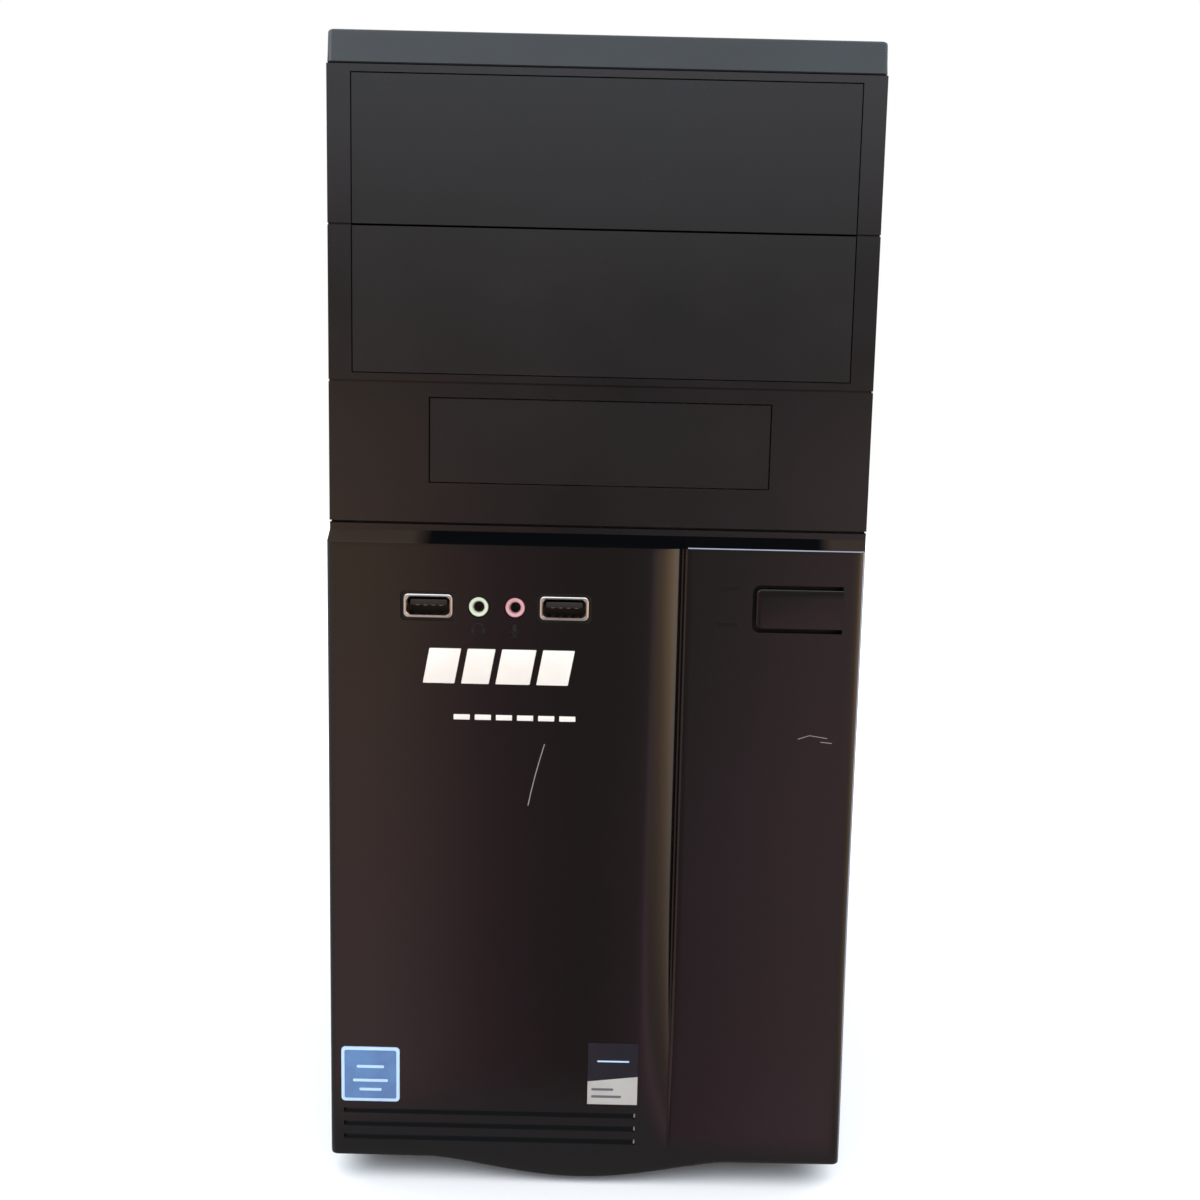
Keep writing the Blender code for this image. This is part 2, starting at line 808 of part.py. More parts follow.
def make_power_button():
    """A tongue that turns about an upright pin behind its right end, over a switch."""
    hinge = Vector((BUTTON_X[1] - BUTTON_PIN, BUTTON_HINGE_Y, sum(BUTTON_Z) / 2))
    length = BUTTON_X[1] - BUTTON_X[0]
    half = (BUTTON_Z[1] - BUTTON_Z[0]) / 2
    outline = [
        (0.0, -half),
        (0.0, half),
        (-length + 1.6, half),
        (-length + 0.4, half - 0.5),
        (-length, half - 1.6),
        (-length, -half + 1.6),
        (-length + 0.4, -half + 0.5),
        (-length + 1.6, -half),
    ]
    face = Vector((BUTTON_X[1], RIGHT_FACE + BUTTON_THICKNESS / 2, hinge.z))
    tongue = plate("tongue", outline, [], BUTTON_THICKNESS, "XZ", face, gloss_black)
    stem = cuboid("stem", (56.0, face.y, 184.0), (60.0, -170.6, 188.0))
    arm = cuboid(
        "hinge_arm",
        (BUTTON_X[1] - 3.0, face.y, hinge.z - 5.0),
        (BUTTON_X[1], hinge.y, hinge.z + 5.0),
    )
    foot = (hinge.x, hinge.y, hinge.z - 9.0)
    button = cylinder("power_button", foot, "Z", BUTTON_PIN, 18.0, 10, gloss_black)
    return join(button, tongue, stem, arm)


# ---------------------------------------------------------------- badge and labels
def make_label(name, low, high, face, thickness, material, bevel=0.0):
    """A thin plate stuck on the fascia's front, given by its corners (x, z)."""
    gap = 0.1
    return cuboid(
        name,
        (low[0], face - gap - thickness, low[1]),
        (high[0], face - gap, high[1]),
        material,
        bevel,
    )


def make_labels():
    make_label("nameplate", (-52.1, 161.8), (-6.1, 172.5), FRONT, 0.8, silver, 0.3)
    make_label("nameplate_bar", (-42.7, 150.2), (-5.6, 153.2), FRONT, 0.6, silver, 0.2)
    make_label("blue_sticker", (-77.6, 26.8), (-59.2, 44.8), FRONT, 0.5, blue_label)
    make_label("two_tone_sticker", (0.4, 27.4), (16.2, 47.8), FRONT, 0.5, grey_label)


# ---------------------------------------------------------------- fans
def make_fan_frame(name, at, axis, size, depth, bore):
    """A square frame with a round duct, and a bearing on four struts at its +axis end."""
    half = size / 2
    inset = half - 4.4
    holes = [circle(0, 0, bore, CIRCLE_SIDES)]
    holes += [circle(sx * inset, sy * inset, 2.1, 8) for sx in (-1, 1) for sy in (-1, 1)]
    frame = plate(name, rectangle(-half, half, -half, half), holes, depth, "XY", at, dark_plastic)
    seat = cylinder("seat", (0, 0, depth / 2 - 2.2), "Z", FAN_HUB, 2.0)
    strut = cuboid("strut", (-bore - 1, -1.2, depth / 2 - 2.2), (bore + 1, 1.2, depth / 2 - 0.4))
    cross = cuboid("cross", (-1.2, -bore - 1, depth / 2 - 2.1), (1.2, bore + 1, depth / 2 - 0.3))
    bearing = cylinder("bearing", (0, 0, depth / 2 - 3.5), "Z", BEARING_BORE, 6.0, SMALL_SIDES)
    for piece in (seat, strut, cross, bearing):
        piece.parent = frame
    cut(join(frame, seat, strut, cross), bearing)
    frame.rotation_euler = AXIS_TURN[axis]
    return frame


def make_rotor(name, at, axis, hub, tip, depth, blades=7):
    """A hub with tilted blades. Its origin is on its shaft's line."""
    rotor = cylinder(name, at, axis, hub, depth, CIRCLE_SIDES, dark_plastic)
    span = tip - hub + 2.0
    fins = []
    for i in range(blades):
        blade = cuboid(
            "blade",
            (-span / 2, -(depth - 4.0) * 0.62, -0.7),
            (span / 2, (depth - 4.0) * 0.62, 0.7),
        )
        lay = (
            Matrix.Rotation(2 * math.pi * i / blades, 4, "Z")
            @ Matrix.Translation(Vector((hub - 2.0 + span / 2, 0, depth / 2)) * MM)
            @ Matrix.Rotation(math.radians(38), 4, "X")
        )
        blade.matrix_basis = lay
        fins.append(blade)
    set_of_blades = copies(name + "_blades", fins)
    spindle = cylinder("spindle", (0, 0, depth - 1.0), "Z", SPINDLE, 5.0, SMALL_SIDES)
    for piece in (set_of_blades, spindle):
        piece.parent = rotor
    return join(rotor, set_of_blades, spindle)


def make_fans():
    y_front = REAR_WALL - SHEET - GAP - FAN_DEPTH
    centre = (REAR_FAN[0], y_front + FAN_DEPTH / 2, REAR_FAN[1])
    make_fan_frame("rear_fan_frame", centre, "Y", FAN_SIZE, FAN_DEPTH, FAN_BORE)
    make_rotor(
        "rear_fan_rotor", (REAR_FAN[0], y_front + 2.0, REAR_FAN[1]), "Y", FAN_HUB, FAN_TIP, 18.0
    )
    psu_front = PSU_HIGH[1] - SHEET - GAP - FAN_DEPTH
    centre = (PSU_FAN[0], psu_front + FAN_DEPTH / 2, PSU_FAN[1])
    make_fan_frame("psu_fan_frame", centre, "Y", FAN_SIZE, FAN_DEPTH, FAN_BORE)
    make_rotor(
        "psu_fan_rotor", (PSU_FAN[0], psu_front + 2.0, PSU_FAN[1]), "Y", FAN_HUB, FAN_TIP, 18.0
    )
    make_fan_frame("cpu_fan_frame", (22.7, *COOLER), "X", 90.0, 18.0, 42.0)
    make_rotor("cpu_fan_rotor", (15.7, *COOLER), "X", 17.0, 40.0, 12.0)


# ---------------------------------------------------------------- power supply
def make_power_supply():
    housing = folded_sheet("psu_housing", PSU_LOW, PSU_HIGH, [], SHEET, bare_steel)
    slots = [
        place(
            plate(
                "slot",
                outline,
                [],
                6.0,
                "XZ",
                (0, PSU_HIGH[1], 0),
            )
        )
        for outline in fan_grille(*PSU_FAN)
    ]
    cut(housing, copies("psu_grille", slots))
    half_w, half_h = INLET_SIZE[0] / 2 + GAP, INLET_SIZE[1] / 2 + GAP
    openings = [
        (
            (INLET[0] - half_w, PSU_HIGH[1] - 5, INLET[1] - half_h),
            (INLET[0] + half_w, PSU_HIGH[1] + 5, INLET[1] + half_h),
        ),
        ((-60.0, PSU_LOW[1] - 5, 268.0), (-44.0, PSU_LOW[1] + 5, 284.0)),
    ]
    openings += [
        ((x, PSU_LOW[1] - 5, 300.0), (x + 4.0, PSU_LOW[1] + 5, 336.0)) for x in range(-30, 60, 9)
    ]
    cut(housing, box_tools("psu_openings", openings))
    inlet = cuboid(
        "mains_inlet",
        (INLET[0] - INLET_SIZE[0] / 2, 150.0, INLET[1] - INLET_SIZE[1] / 2),
        (INLET[0] + INLET_SIZE[0] / 2, 175.4, INLET[1] + INLET_SIZE[1] / 2),
        dark_plastic,
    )
    recess = cuboid(
        "recess",
        (INLET[0] - 12.2, 158.0, INLET[1] - 8.2),
        (INLET[0] + 12.2, 180.0, INLET[1] + 8.2),
    )
    cut(inlet, recess)
    pins = [
        place(
            cuboid(
                "pin",
                (INLET[0] + x - 1.0, 156.0, INLET[1] + z - 2.0),
                (INLET[0] + x + 1.0, 170.4, INLET[1] + z + 2.0),
            )
        )
        for x, z in ((-7.0, -2.0), (0.0, 2.0), (7.0, -2.0))
    ]
    join(inlet, copies("inlet_pins", pins))


# ---------------------------------------------------------------- motherboard and what is on it
def make_motherboard():
    outline = rectangle(*BOARD_Y, *BOARD_Z)
    holes = [circle(y, z, 1.9, 8) for y, z in STANDOFFS]
    board = plate(
        "motherboard",
        outline,
        holes,
        BOARD_BACK - BOARD_FACE,
        "YZ",
        ((BOARD_FACE + BOARD_BACK) / 2, 0, 0),
        board_green,
    )
    socket = cuboid(
        "socket",
        (BOARD_FACE - 4.2, COOLER[0] - 22, COOLER[1] - 22),
        (BOARD_FACE + 0.5, COOLER[0] + 22, COOLER[1] + 22),
    )
    main_plug = cuboid("main_plug", (50.4, -35.0, 120.0), (BOARD_FACE + 0.5, -25.0, 172.0))
    drive_plug = cuboid("drive_plug", (54.4, -31.0, 92.0), (BOARD_FACE + 0.5, -21.0, 108.0))
    return join(board, socket, main_plug, drive_plug)


def port_block(name, z_range, height, material):
    """A socket on the board's rear edge that stands height off the board."""
    return cuboid(
        name,
        (BOARD_FACE - GAP - height, PORT_FRONT, z_range[0]),
        (BOARD_FACE - GAP, PORT_BACK, z_range[1]),
        material,
    )


def socket_mouths(block, mouths, depth):
    """Cuts rectangular mouths, each (x0, x1, z0, z1), into a block's rear face."""
    boxes = [((x0, PORT_BACK - depth, z0), (x1, PORT_BACK + 4, z1)) for x0, x1, z0, z1 in mouths]
    return cut(block, box_tools(block.name + "_mouths", boxes))


def make_rear_ports():
    top = BOARD_FACE - GAP
    block = port_block("ps2_ports", (239.0, 253.0), 33.0, dark_plastic)
    rings = [
        place(cylinder("ring", (x, PORT_BACK - 9, 246.0), "Y", 4.3, 14.0, SMALL_SIDES))
        for x in (top - 8.5, top - 24.5)
    ]
    cut(block, copies("ps2_mouths", rings))
    block = port_block("hdmi_port", (216.0, 231.0), 6.4, nickel)
    socket_mouths(block, [(top - 5.6, top - 0.9, 216.6, 230.4)], 10.0)
    port_block("vga_port", (178.0, 209.0), 12.5, nickel)
    block = port_block("usb_stack", (155.0, 169.5), 15.6, nickel)
    pair = [(top - 7.0, top - 2.0), (top - 14.6, top - 9.6)]
    socket_mouths(block, [(x0, x1, 156.0, 168.5) for x0, x1 in pair], 14.0)
    block = port_block("lan_usb_stack", (130.0, 147.0), 29.5, nickel)
    mouths = [(x0, x1, 132.2, 144.8) for x0, x1 in pair]
    mouths.append((top - 27.5, top - 19.0, 132.6, 144.4))
    socket_mouths(block, mouths, 14.0)
    block = port_block("audio_jacks", (106.0, 119.0), 35.0, dark_plastic)
    bores = [
        place(cylinder("bore", (top - x, PORT_BACK - 12, 112.5), "Y", JACK_BORE, 15.0, 10))
        for x in (6.5, 17.5, 28.5)
    ]
    cut(block, copies("audio_bores", bores))


def make_io_shield():
    top = BOARD_FACE - GAP
    x0, x1 = IO_WINDOW_X
    ports = [
        (239.0, 253.0, 33.0),
        (216.0, 231.0, 6.4),
        (178.0, 209.0, 12.5),
        (155.0, 169.5, 15.6),
        (130.0, 147.0, 29.5),
        (106.0, 119.0, 35.0),
    ]
    slots = [rectangle(top - h - 0.4, top + 0.3, z0 - 0.4, z1 + 0.4) for z0, z1, h in ports]
    frame = rectangle(x0 + GAP, x1 - GAP, IO_WINDOW_Z[0] + GAP, IO_WINDOW_Z[1] - GAP)
    return plate(
        "io_shield", frame, slots, 0.6, "XZ", (0, REAR_WALL - 0.5, 0), nickel
    )


def comb(name, width, base, height, fins, fin_width, length, material):
    """A finned heatsink: a comb outline, drawn across the fins, given a length along them."""
    pitch = (width - fin_width) / (fins - 1)
    outline = [(-width / 2, 0.0), (width / 2, 0.0)]
    for i in range(fins):
        right = width / 2 - i * pitch
        if i:
            outline.append((right, base))
        outline += [(right, height), (right - fin_width, height)]
        if i < fins - 1:
            outline.append((right - fin_width, base))
    return plate(name, outline, [], length, "XY", (0, 0, 0), material)


def make_board_parts():
    sink = comb("cpu_heatsink", 82.0, 5.0, 26.0, 15, 1.6, 80.0, aluminium)
    sink.location = Vector((BOARD_FACE - 4.5, *COOLER)) * MM
    sink.rotation_euler = (0.0, 0.0, math.pi / 2)
    chip_sink = comb("chipset_heatsink", 34.0, 2.5, 10.0, 7, 1.6, 34.0, aluminium)
    chip_sink.location = Vector((BOARD_FACE - GAP, 0.0, 66.0)) * MM
    chip_sink.rotation_euler = (0.0, 0.0, math.pi / 2)
    cuboid("memory_module", (30.5, 22.0, 114.0), (BOARD_FACE - GAP, 25.2, 247.3), board_green)
    slot = cuboid(
        "graphics_slot", (51.2, 34.0, SLOT_Z[0] - 3.7), (BOARD_FACE - GAP, 123.0, SLOT_Z[0] + 3.7),
        dark_plastic,
    )
    cut(slot, cuboid("groove", (45.0, 37.0, SLOT_Z[0] - 0.9), (56.0, 120.0, SLOT_Z[0] + 0.9)))


def make_slot_covers():
    y = REAR_WALL - SHEET - GAP
    for number, z in enumerate(SLOT_Z, 1):
        cover = cuboid(
            f"slot_cover_{number}", (-52.0, y - 1.0, z - 9.2), (61.0, y, z + 9.2), bare_steel
        )
        tab = cuboid("tab", (-52.0, y - 11.0, z - 9.2), (-51.0, y - 0.5, z + 9.2))
        join(cover, tab)


# ---------------------------------------------------------------- internal cables
def make_cables():
    """Cables fixed at both ends, from the power supply and the drive to the motherboard."""
    tube(
        "main_power_cable",
        [
            (-52.0, 44.0, 276.0),
            (-52.0, 34.0, 276.0),
            (-50.0, 26.5, 264.0),
            (-42.0, 25.0, 244.0),
            (-20.0, 12.0, 218.0),
            (4.0, 8.0, 190.0),
            (20.0, -6.0, 162.0),
            (32.0, -24.0, 149.0),
            (42.0, -30.0, 146.0),
            (46.0, -30.0, 146.0),
            (50.0, -30.0, 146.0),
        ],
        4.5,
        cable_black,
    )
    tube(
        "drive_data_cable",
        [
            (30.0, -7.5, 184.0),
            (30.0, 3.0, 184.0),
            (32.0, 13.0, 174.0),
            (34.0, 14.0, 144.0),
            (40.0, -6.0, 112.0),
            (47.0, -24.0, 101.0),
            (54.1, -26.0, 100.0),
        ],
        2.2,
        cable_red,
        1,
    )


def main():
    make_base_pan()
    make_top_plate()
    make_rear_wall()
    make_front_wall()
    make_motherboard_tray()
    make_left_cover()
    make_side_cover("right_side_cover", 1, painted_steel)
    make_thumb_screw("thumb_screw_upper", SCREW_Z[0])
    make_thumb_screw("thumb_screw_lower", SCREW_Z[1])
    make_feet()
    make_bay_cages()
    make_hard_drive()
    make_gloss_fascia()
    make_upper_mouldings()
    make_front_sockets()
    make_indicators()
    make_front_board()
    make_power_button()
    make_labels()
    make_fans()
    make_power_supply()
    make_motherboard()
    make_rear_ports()
    make_io_shield()
    make_board_parts()
    make_slot_covers()
    make_cables()


main()
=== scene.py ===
"""Looks of the mini tower computer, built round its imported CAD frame.

Shapes are given in millimetres in the frame's own axes: +X right, +Y back, +Z up, floor at 0.
"""

import math

import bmesh
import bpy
from mathutils import Matrix, Vector


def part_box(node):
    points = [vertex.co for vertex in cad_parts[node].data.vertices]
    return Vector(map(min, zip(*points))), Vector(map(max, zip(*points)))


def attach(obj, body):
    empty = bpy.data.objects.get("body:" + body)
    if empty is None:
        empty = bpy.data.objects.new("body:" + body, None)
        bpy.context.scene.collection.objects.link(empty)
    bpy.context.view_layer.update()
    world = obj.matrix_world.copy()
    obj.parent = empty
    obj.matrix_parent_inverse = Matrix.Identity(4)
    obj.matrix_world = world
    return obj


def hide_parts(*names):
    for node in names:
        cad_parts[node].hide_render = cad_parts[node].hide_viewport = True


MM = 0.001

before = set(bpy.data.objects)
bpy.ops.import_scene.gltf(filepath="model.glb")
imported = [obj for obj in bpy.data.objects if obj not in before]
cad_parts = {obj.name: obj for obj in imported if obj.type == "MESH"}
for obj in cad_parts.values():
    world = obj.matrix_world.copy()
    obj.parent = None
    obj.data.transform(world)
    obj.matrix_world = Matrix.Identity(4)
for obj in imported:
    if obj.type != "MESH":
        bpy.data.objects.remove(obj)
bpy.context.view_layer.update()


def corners(node):
    """Lowest and highest corner of a CAD node in millimetres."""
    low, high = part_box(node)
    return Vector(low) / MM, Vector(high) / MM


def middle_of(node):
    """Middle of a CAD node in millimetres."""
    low, high = corners(node)
    return (low + high) / 2


# Driving positions, read from the frame
FASCIA_LOW, FASCIA_HIGH = corners("gloss_fascia")
FRAME_LOW, FRAME_HIGH = corners("bezel_frame")
CAP_LOW, CAP_HIGH = corners("top_cap")
BUTTON_LOW, BUTTON_HIGH = corners("power_button")
HALF_WIDTH = FASCIA_HIGH.x
FRONT = FASCIA_LOW.y
RIGHT_FACE = BUTTON_LOW.y
UPPER_FACE = FRAME_LOW.y
BEZEL_BACK = FASCIA_HIGH.y
FASCIA_TOP = FASCIA_HIGH.z
REAR_WALL = corners("rear_wall")[1].y
SLOT_COVERS = [f"slot_cover_{number}" for number in range(1, 5)]
SLOT_ROWS = [middle_of(cover).z for cover in SLOT_COVERS]
BOARD_THICKNESS = 1.6
BOARD_FACE = corners("motherboard")[1].x - BOARD_THICKNESS
FRONT_USB = ("front_usb_left", "front_usb_right")

# The fascia's own shape
SHOULDER = FASCIA_TOP - 5.3
SHOULDER_EDGE = 0.55
LIP_FOOT = FASCIA_TOP - 2.1
FASCIA_BOTTOM = 8.0
FASCIA_WALL = 2.3
CAP_WALL = 1.8
LIP_CENTRE = -2.0
LIP_HALF_WIDTH = 47.0
LIP_DROP = FASCIA_BOTTOM - FASCIA_LOW.z
GROOVE_ROWS = (23.5, 19.1, 14.7)
GROOVE_START = -77.0
GROOVE_END = 16.0
STEP_START = 16.0
STEP_END = 27.4
STEP_FADE = 92.0
VALLEY_DEPTH = 1.1
CORNER = 2.6
RIGHT_CROWN = 0.15

# The button's tongue and the opening round it
BUTTON_HALF_HEIGHT = 6.05
BUTTON_RADIUS = 1.7
BUTTON_SLOT = 1.2
BUTTON_HAIRLINE = 0.04
OPENING_RADIUS = 2.4


# ---------------------------------------------------------------- materials
class Nodes:
    """Short names for wiring a node tree."""

    def __init__(self, tree):
        self.tree = tree

    def add(self, kind, values=None, **settings):
        node = self.tree.nodes.new(kind)
        for key, value in settings.items():
            setattr(node, key, value)
        for key, value in (values or {}).items():
            node.inputs[key].default_value = value
        return node

    def link(self, start, end):
        self.tree.links.new(start, end)

    def noise(self, where, scale, detail=3.0, roughness=0.5):
        node = self.add(
            "ShaderNodeTexNoise", {"Scale": scale, "Detail": detail, "Roughness": roughness}
        )
        self.link(where, node.inputs["Vector"])
        return node.outputs["Fac"]

    def remap(self, value, low, high, to_low, to_high):
        node = self.add(
            "ShaderNodeMapRange",
            {"From Min": low, "From Max": high, "To Min": to_low, "To Max": to_high},
        )
        self.link(value, node.inputs["Value"])
        return node.outputs["Result"]

    def mix(self, factor, first, second, blend="MIX"):
        node = self.add("ShaderNodeMix", data_type="RGBA", blend_type=blend)
        for value, number in ((factor, 0), (first, 6), (second, 7)):
            socket = node.inputs[number]
            if isinstance(value, bpy.types.NodeSocket):
                self.link(value, socket)
            elif isinstance(value, tuple):
                socket.default_value = (*value, 1.0)
            else:
                socket.default_value = value
        return node.outputs[2]


def finish_material(
    name, colour, roughness, metallic=0.0, grain=None, mottle=None, smudge=0.0, brushed=None, **sockets
):
    """A shader with fine grain in its bump, slow colour change, and uneven roughness.

    grain is (size in mm, depth in mm). mottle is (size in mm, strength, second colour).
    smudge is how far roughness wanders. brushed is the axis along which the grain is drawn out.
    """
    material = bpy.data.materials.new(name)
    material.use_nodes = True
    nodes = Nodes(material.node_tree)
    shader = material.node_tree.nodes["Principled BSDF"]
    shader.inputs["Base Color"].default_value = (*colour, 1.0)
    shader.inputs["Metallic"].default_value = metallic
    shader.inputs["Roughness"].default_value = roughness
    for key, value in sockets.items():
        shader.inputs[key.replace("_", " ")].default_value = value
    where = nodes.add("ShaderNodeTexCoord").outputs["Object"]
    if mottle:
        size, strength, second = mottle
        cloud = nodes.noise(where, 1.0 / (size * MM), 4.0, 0.6)
        factor = nodes.remap(cloud, 0.35, 0.65, 0.0, strength)
        nodes.link(nodes.mix(factor, colour, second), shader.inputs["Base Color"])
    if smudge:
        cloud = nodes.noise(where, 28.0, 5.0, 0.65)
        level = nodes.remap(cloud, 0.3, 0.7, max(roughness - smudge, 0.02), roughness + smudge)
        nodes.link(level, shader.inputs["Roughness"])
    if grain:
        size, depth = grain
        place = where
        if brushed:
            stretch = nodes.add("ShaderNodeMapping")
            stretch.inputs["Scale"].default_value = [0.03 if a == brushed else 1.0 for a in "XYZ"]
            nodes.link(where, stretch.inputs["Vector"])
            place = stretch.outputs["Vector"]
        bump = nodes.add("ShaderNodeBump", {"Strength": 0.6, "Distance": depth * MM})
        nodes.link(nodes.noise(place, 1.0 / (size * MM), 2.0, 0.6), bump.inputs["Height"])
        nodes.link(bump.outputs["Normal"], shader.inputs["Normal"])
    return material


matte_black = finish_material(
    "matte_black_plastic", (0.0042, 0.0042, 0.0042), 0.25, grain=(0.35, 0.03),
    mottle=(60.0, 0.6, (0.0058, 0.0042, 0.0048)), smudge=0.03,
)
frame_black = finish_material(
    "frame_black_plastic", (0.0042, 0.0038, 0.0040), 0.18, grain=(0.3, 0.012),
    mottle=(80.0, 0.7, (0.0085, 0.0062, 0.0070)), smudge=0.05,
)
cap_black = finish_material(
    "cap_black_plastic", (0.0110, 0.0120, 0.0130), 0.36, grain=(0.3, 0.02),
    mottle=(50.0, 0.5, (0.0085, 0.0095, 0.0105)), smudge=0.05,
)
gloss_black = finish_material(
    "gloss_black_plastic", (0.0032, 0.0026, 0.0028), 0.07,
    mottle=(70.0, 0.7, (0.0048, 0.0028, 0.0032)), smudge=0.025, grain=(9.0, 0.008),
)
# Band along the fascia's top bevel: a dull black with no specular reflection, painted shade standing in
# for the dark room that the glossy band mirrors; its ends get a painted brown reflection below
band_painted_shade_and_reflection = finish_material(
    "bevel_band_painted_shade_and_reflection", (0.0022, 0.0024, 0.0030), 0.6, grain=(0.3, 0.01),
    mottle=(30.0, 0.5, (0.0032, 0.0030, 0.0032)), smudge=0.05, Specular_IOR_Level=0.0,
)
# Painted highlight: a bright metallic black for thin strips on the fascia's right shoulder and right
# corner, and on the upper moulding's right edge, standing in for the highlights those edges catch
painted_edge_highlight = finish_material(
    "painted_highlight_black", (0.20, 0.21, 0.24), 0.16, 1.0, grain=(4.0, 0.004),
    mottle=(30.0, 0.7, (0.30, 0.32, 0.37)), smudge=0.05,
)


def paint_band_end_reflections(material):
    """Painted brown reflection, paler, towards both ends of the bevel band, black between them."""
    nodes = Nodes(material.node_tree)
    shader = material.node_tree.nodes["Principled BSDF"]
    parts = nodes.add("ShaderNodeSeparateXYZ")
    nodes.link(nodes.add("ShaderNodeTexCoord").outputs["Object"], parts.inputs[0])
    left = nodes.remap(parts.outputs["X"], -0.056, -0.050, 1.0, 0.0)
    right = nodes.remap(parts.outputs["X"], 0.067, 0.071, 0.0, 1.0)
    ends = nodes.add("ShaderNodeMath", operation="MAXIMUM")
    nodes.link(left, ends.inputs[0])
    nodes.link(right, ends.inputs[1])
    plain = shader.inputs["Base Color"].links[0].from_socket
    # Mixes the painted brown reflection into the band's ends
    nodes.link(nodes.mix(ends.outputs[0], plain, (0.030, 0.021, 0.016)), shader.inputs["Base Color"])


paint_band_end_reflections(band_painted_shade_and_reflection)
print_black = finish_material("matte_print", (0.004, 0.004, 0.004), 0.9, grain=(0.2, 0.01))
socket_black = finish_material(
    "socket_black_plastic", (0.010, 0.0095, 0.0095), 0.42, grain=(0.25, 0.015), smudge=0.05
)
smoked = finish_material(
    "smoked_plastic", (0.0030, 0.0028, 0.0030), 0.3, grain=(3.0, 0.004), smudge=0.05,
    Specular_IOR_Level=0.3,
)
painted_steel = finish_material(
    "painted_black_steel", (0.016, 0.016, 0.017), 0.4, grain=(0.9, 0.03),
    mottle=(90.0, 0.5, (0.026, 0.025, 0.025)), smudge=0.07,
)
zinc = finish_material(
    "zinc_plated_steel", (0.60, 0.61, 0.62), 0.36, 1.0, grain=(0.5, 0.02), brushed="Y",
    mottle=(14.0, 0.6, (0.50, 0.51, 0.52)), smudge=0.10,
)
nickel = finish_material(
    "nickel_plate", (0.76, 0.74, 0.71), 0.2, 1.0, grain=(1.2, 0.006),
    mottle=(6.0, 0.4, (0.66, 0.64, 0.61)), smudge=0.06,
)
aluminium = finish_material(
    "brushed_aluminium", (0.78, 0.79, 0.80), 0.33, 1.0, grain=(0.35, 0.012), brushed="Z",
    mottle=(20.0, 0.4, (0.70, 0.71, 0.72)), smudge=0.08,
)
satin_silver = finish_material(
    "satin_silver", (0.80, 0.74, 0.66), 0.40, 0.25, grain=(0.3, 0.01),
    mottle=(12.0, 0.5, (0.88, 0.84, 0.78)), smudge=0.05,
)
# Pale grey for the scuffs, which are wear, and for the painted highlights at the grooves' right ends
scratch_and_glint_grey = finish_material("scratch_and_glint_grey", (0.20, 0.18, 0.16), 0.6, grain=(0.2, 0.02))
label_grey = finish_material("sticker_print", (0.10, 0.10, 0.11), 0.5, grain=(0.4, 0.006))
gold = finish_material("gold_contacts", (0.83, 0.60, 0.24), 0.28, 1.0, grain=(0.4, 0.005), smudge=0.05)


def flecked(name, colour, roughness, grain, mottle):
    """A plain coloured material with grain and slow colour change."""
    return finish_material(name, colour, roughness, grain=grain, mottle=mottle)


# Small mouldings, all of one grain
(mint, pink, sky_blue, ps2_purple, ps2_green) = (
    flecked(name, colour, roughness, (0.3, 0.01), (3.0, 0.4, second))
    for name, colour, roughness, second in (
        ("mint_plastic", (0.50, 0.56, 0.40), 0.35, (0.58, 0.60, 0.46)),
        ("pink_plastic", (0.56, 0.25, 0.27), 0.35, (0.62, 0.32, 0.33)),
        ("blue_plastic", (0.10, 0.24, 0.55), 0.35, (0.14, 0.30, 0.60)),
        ("purple_plastic", (0.14, 0.07, 0.30), 0.38, (0.18, 0.09, 0.36)),
        ("green_plastic", (0.06, 0.30, 0.16), 0.38, (0.08, 0.36, 0.20)),
    )
)
(
    rubber, cable_black, cable_red, slot_blue, chip_black, tan_ceramic, ferrite, can_steel,
    label_blue, label_pale, label_navy, label_white,
) = (
    flecked(*row)
    for row in (
        ("foot_rubber", (0.014,) * 3, 0.75, (0.5, 0.04), (4.0, 0.5, (0.020, 0.019, 0.018))),
        ("cable_sleeve", (0.014,) * 3, 0.55, (0.6, 0.12), (2.0, 0.7, (0.028,) * 3)),
        ("red_cable_sheath", (0.45, 0.025, 0.02), 0.4, (0.5, 0.02), (6.0, 0.4, (0.52, 0.04, 0.03))),
        ("slot_blue_plastic", (0.02, 0.09, 0.36), 0.4, (0.3, 0.01), (8.0, 0.4, (0.03, 0.12, 0.42))),
        ("chip_epoxy", (0.012, 0.012, 0.013), 0.55, (0.2, 0.01), (4.0, 0.5, (0.018, 0.018, 0.019))),
        ("ceramic_capacitor", (0.30, 0.20, 0.11), 0.45, (0.2, 0.005), (2.0, 0.5, (0.36, 0.26, 0.15))),
        ("ferrite_choke", (0.035, 0.035, 0.038), 0.6, (0.3, 0.03), (3.0, 0.5, (0.05, 0.05, 0.055))),
        ("capacitor_sleeve", (0.030, 0.034, 0.060), 0.35, (0.4, 0.01), (5.0, 0.5, (0.045, 0.05, 0.085))),
        ("sticker_blue", (0.085, 0.155, 0.32), 0.3, (0.4, 0.006), (9.0, 0.7, (0.10, 0.22, 0.42))),
        ("sticker_pale_blue", (0.42, 0.58, 0.76), 0.35, (0.4, 0.006), (5.0, 0.4, (0.50, 0.66, 0.82))),
        ("sticker_navy", (0.006, 0.0055, 0.012), 0.3, (0.4, 0.006), (7.0, 0.5, (0.010, 0.009, 0.018))),
        ("sticker_off_white", (0.40, 0.38, 0.345), 0.45, (0.4, 0.01), (7.0, 0.6, (0.34, 0.315, 0.285))),
    )
)


# ---------------------------------------------------------------- mesh building
AXIS = {"X": Vector((1, 0, 0)), "Y": Vector((0, 1, 0)), "Z": Vector((0, 0, 1))}


def turned(axis):
    """Turns a shape built along +Z so that it runs along +X, +Y or +Z."""
    return AXIS["Z"].rotation_difference(AXIS[axis]).to_matrix().to_4x4()


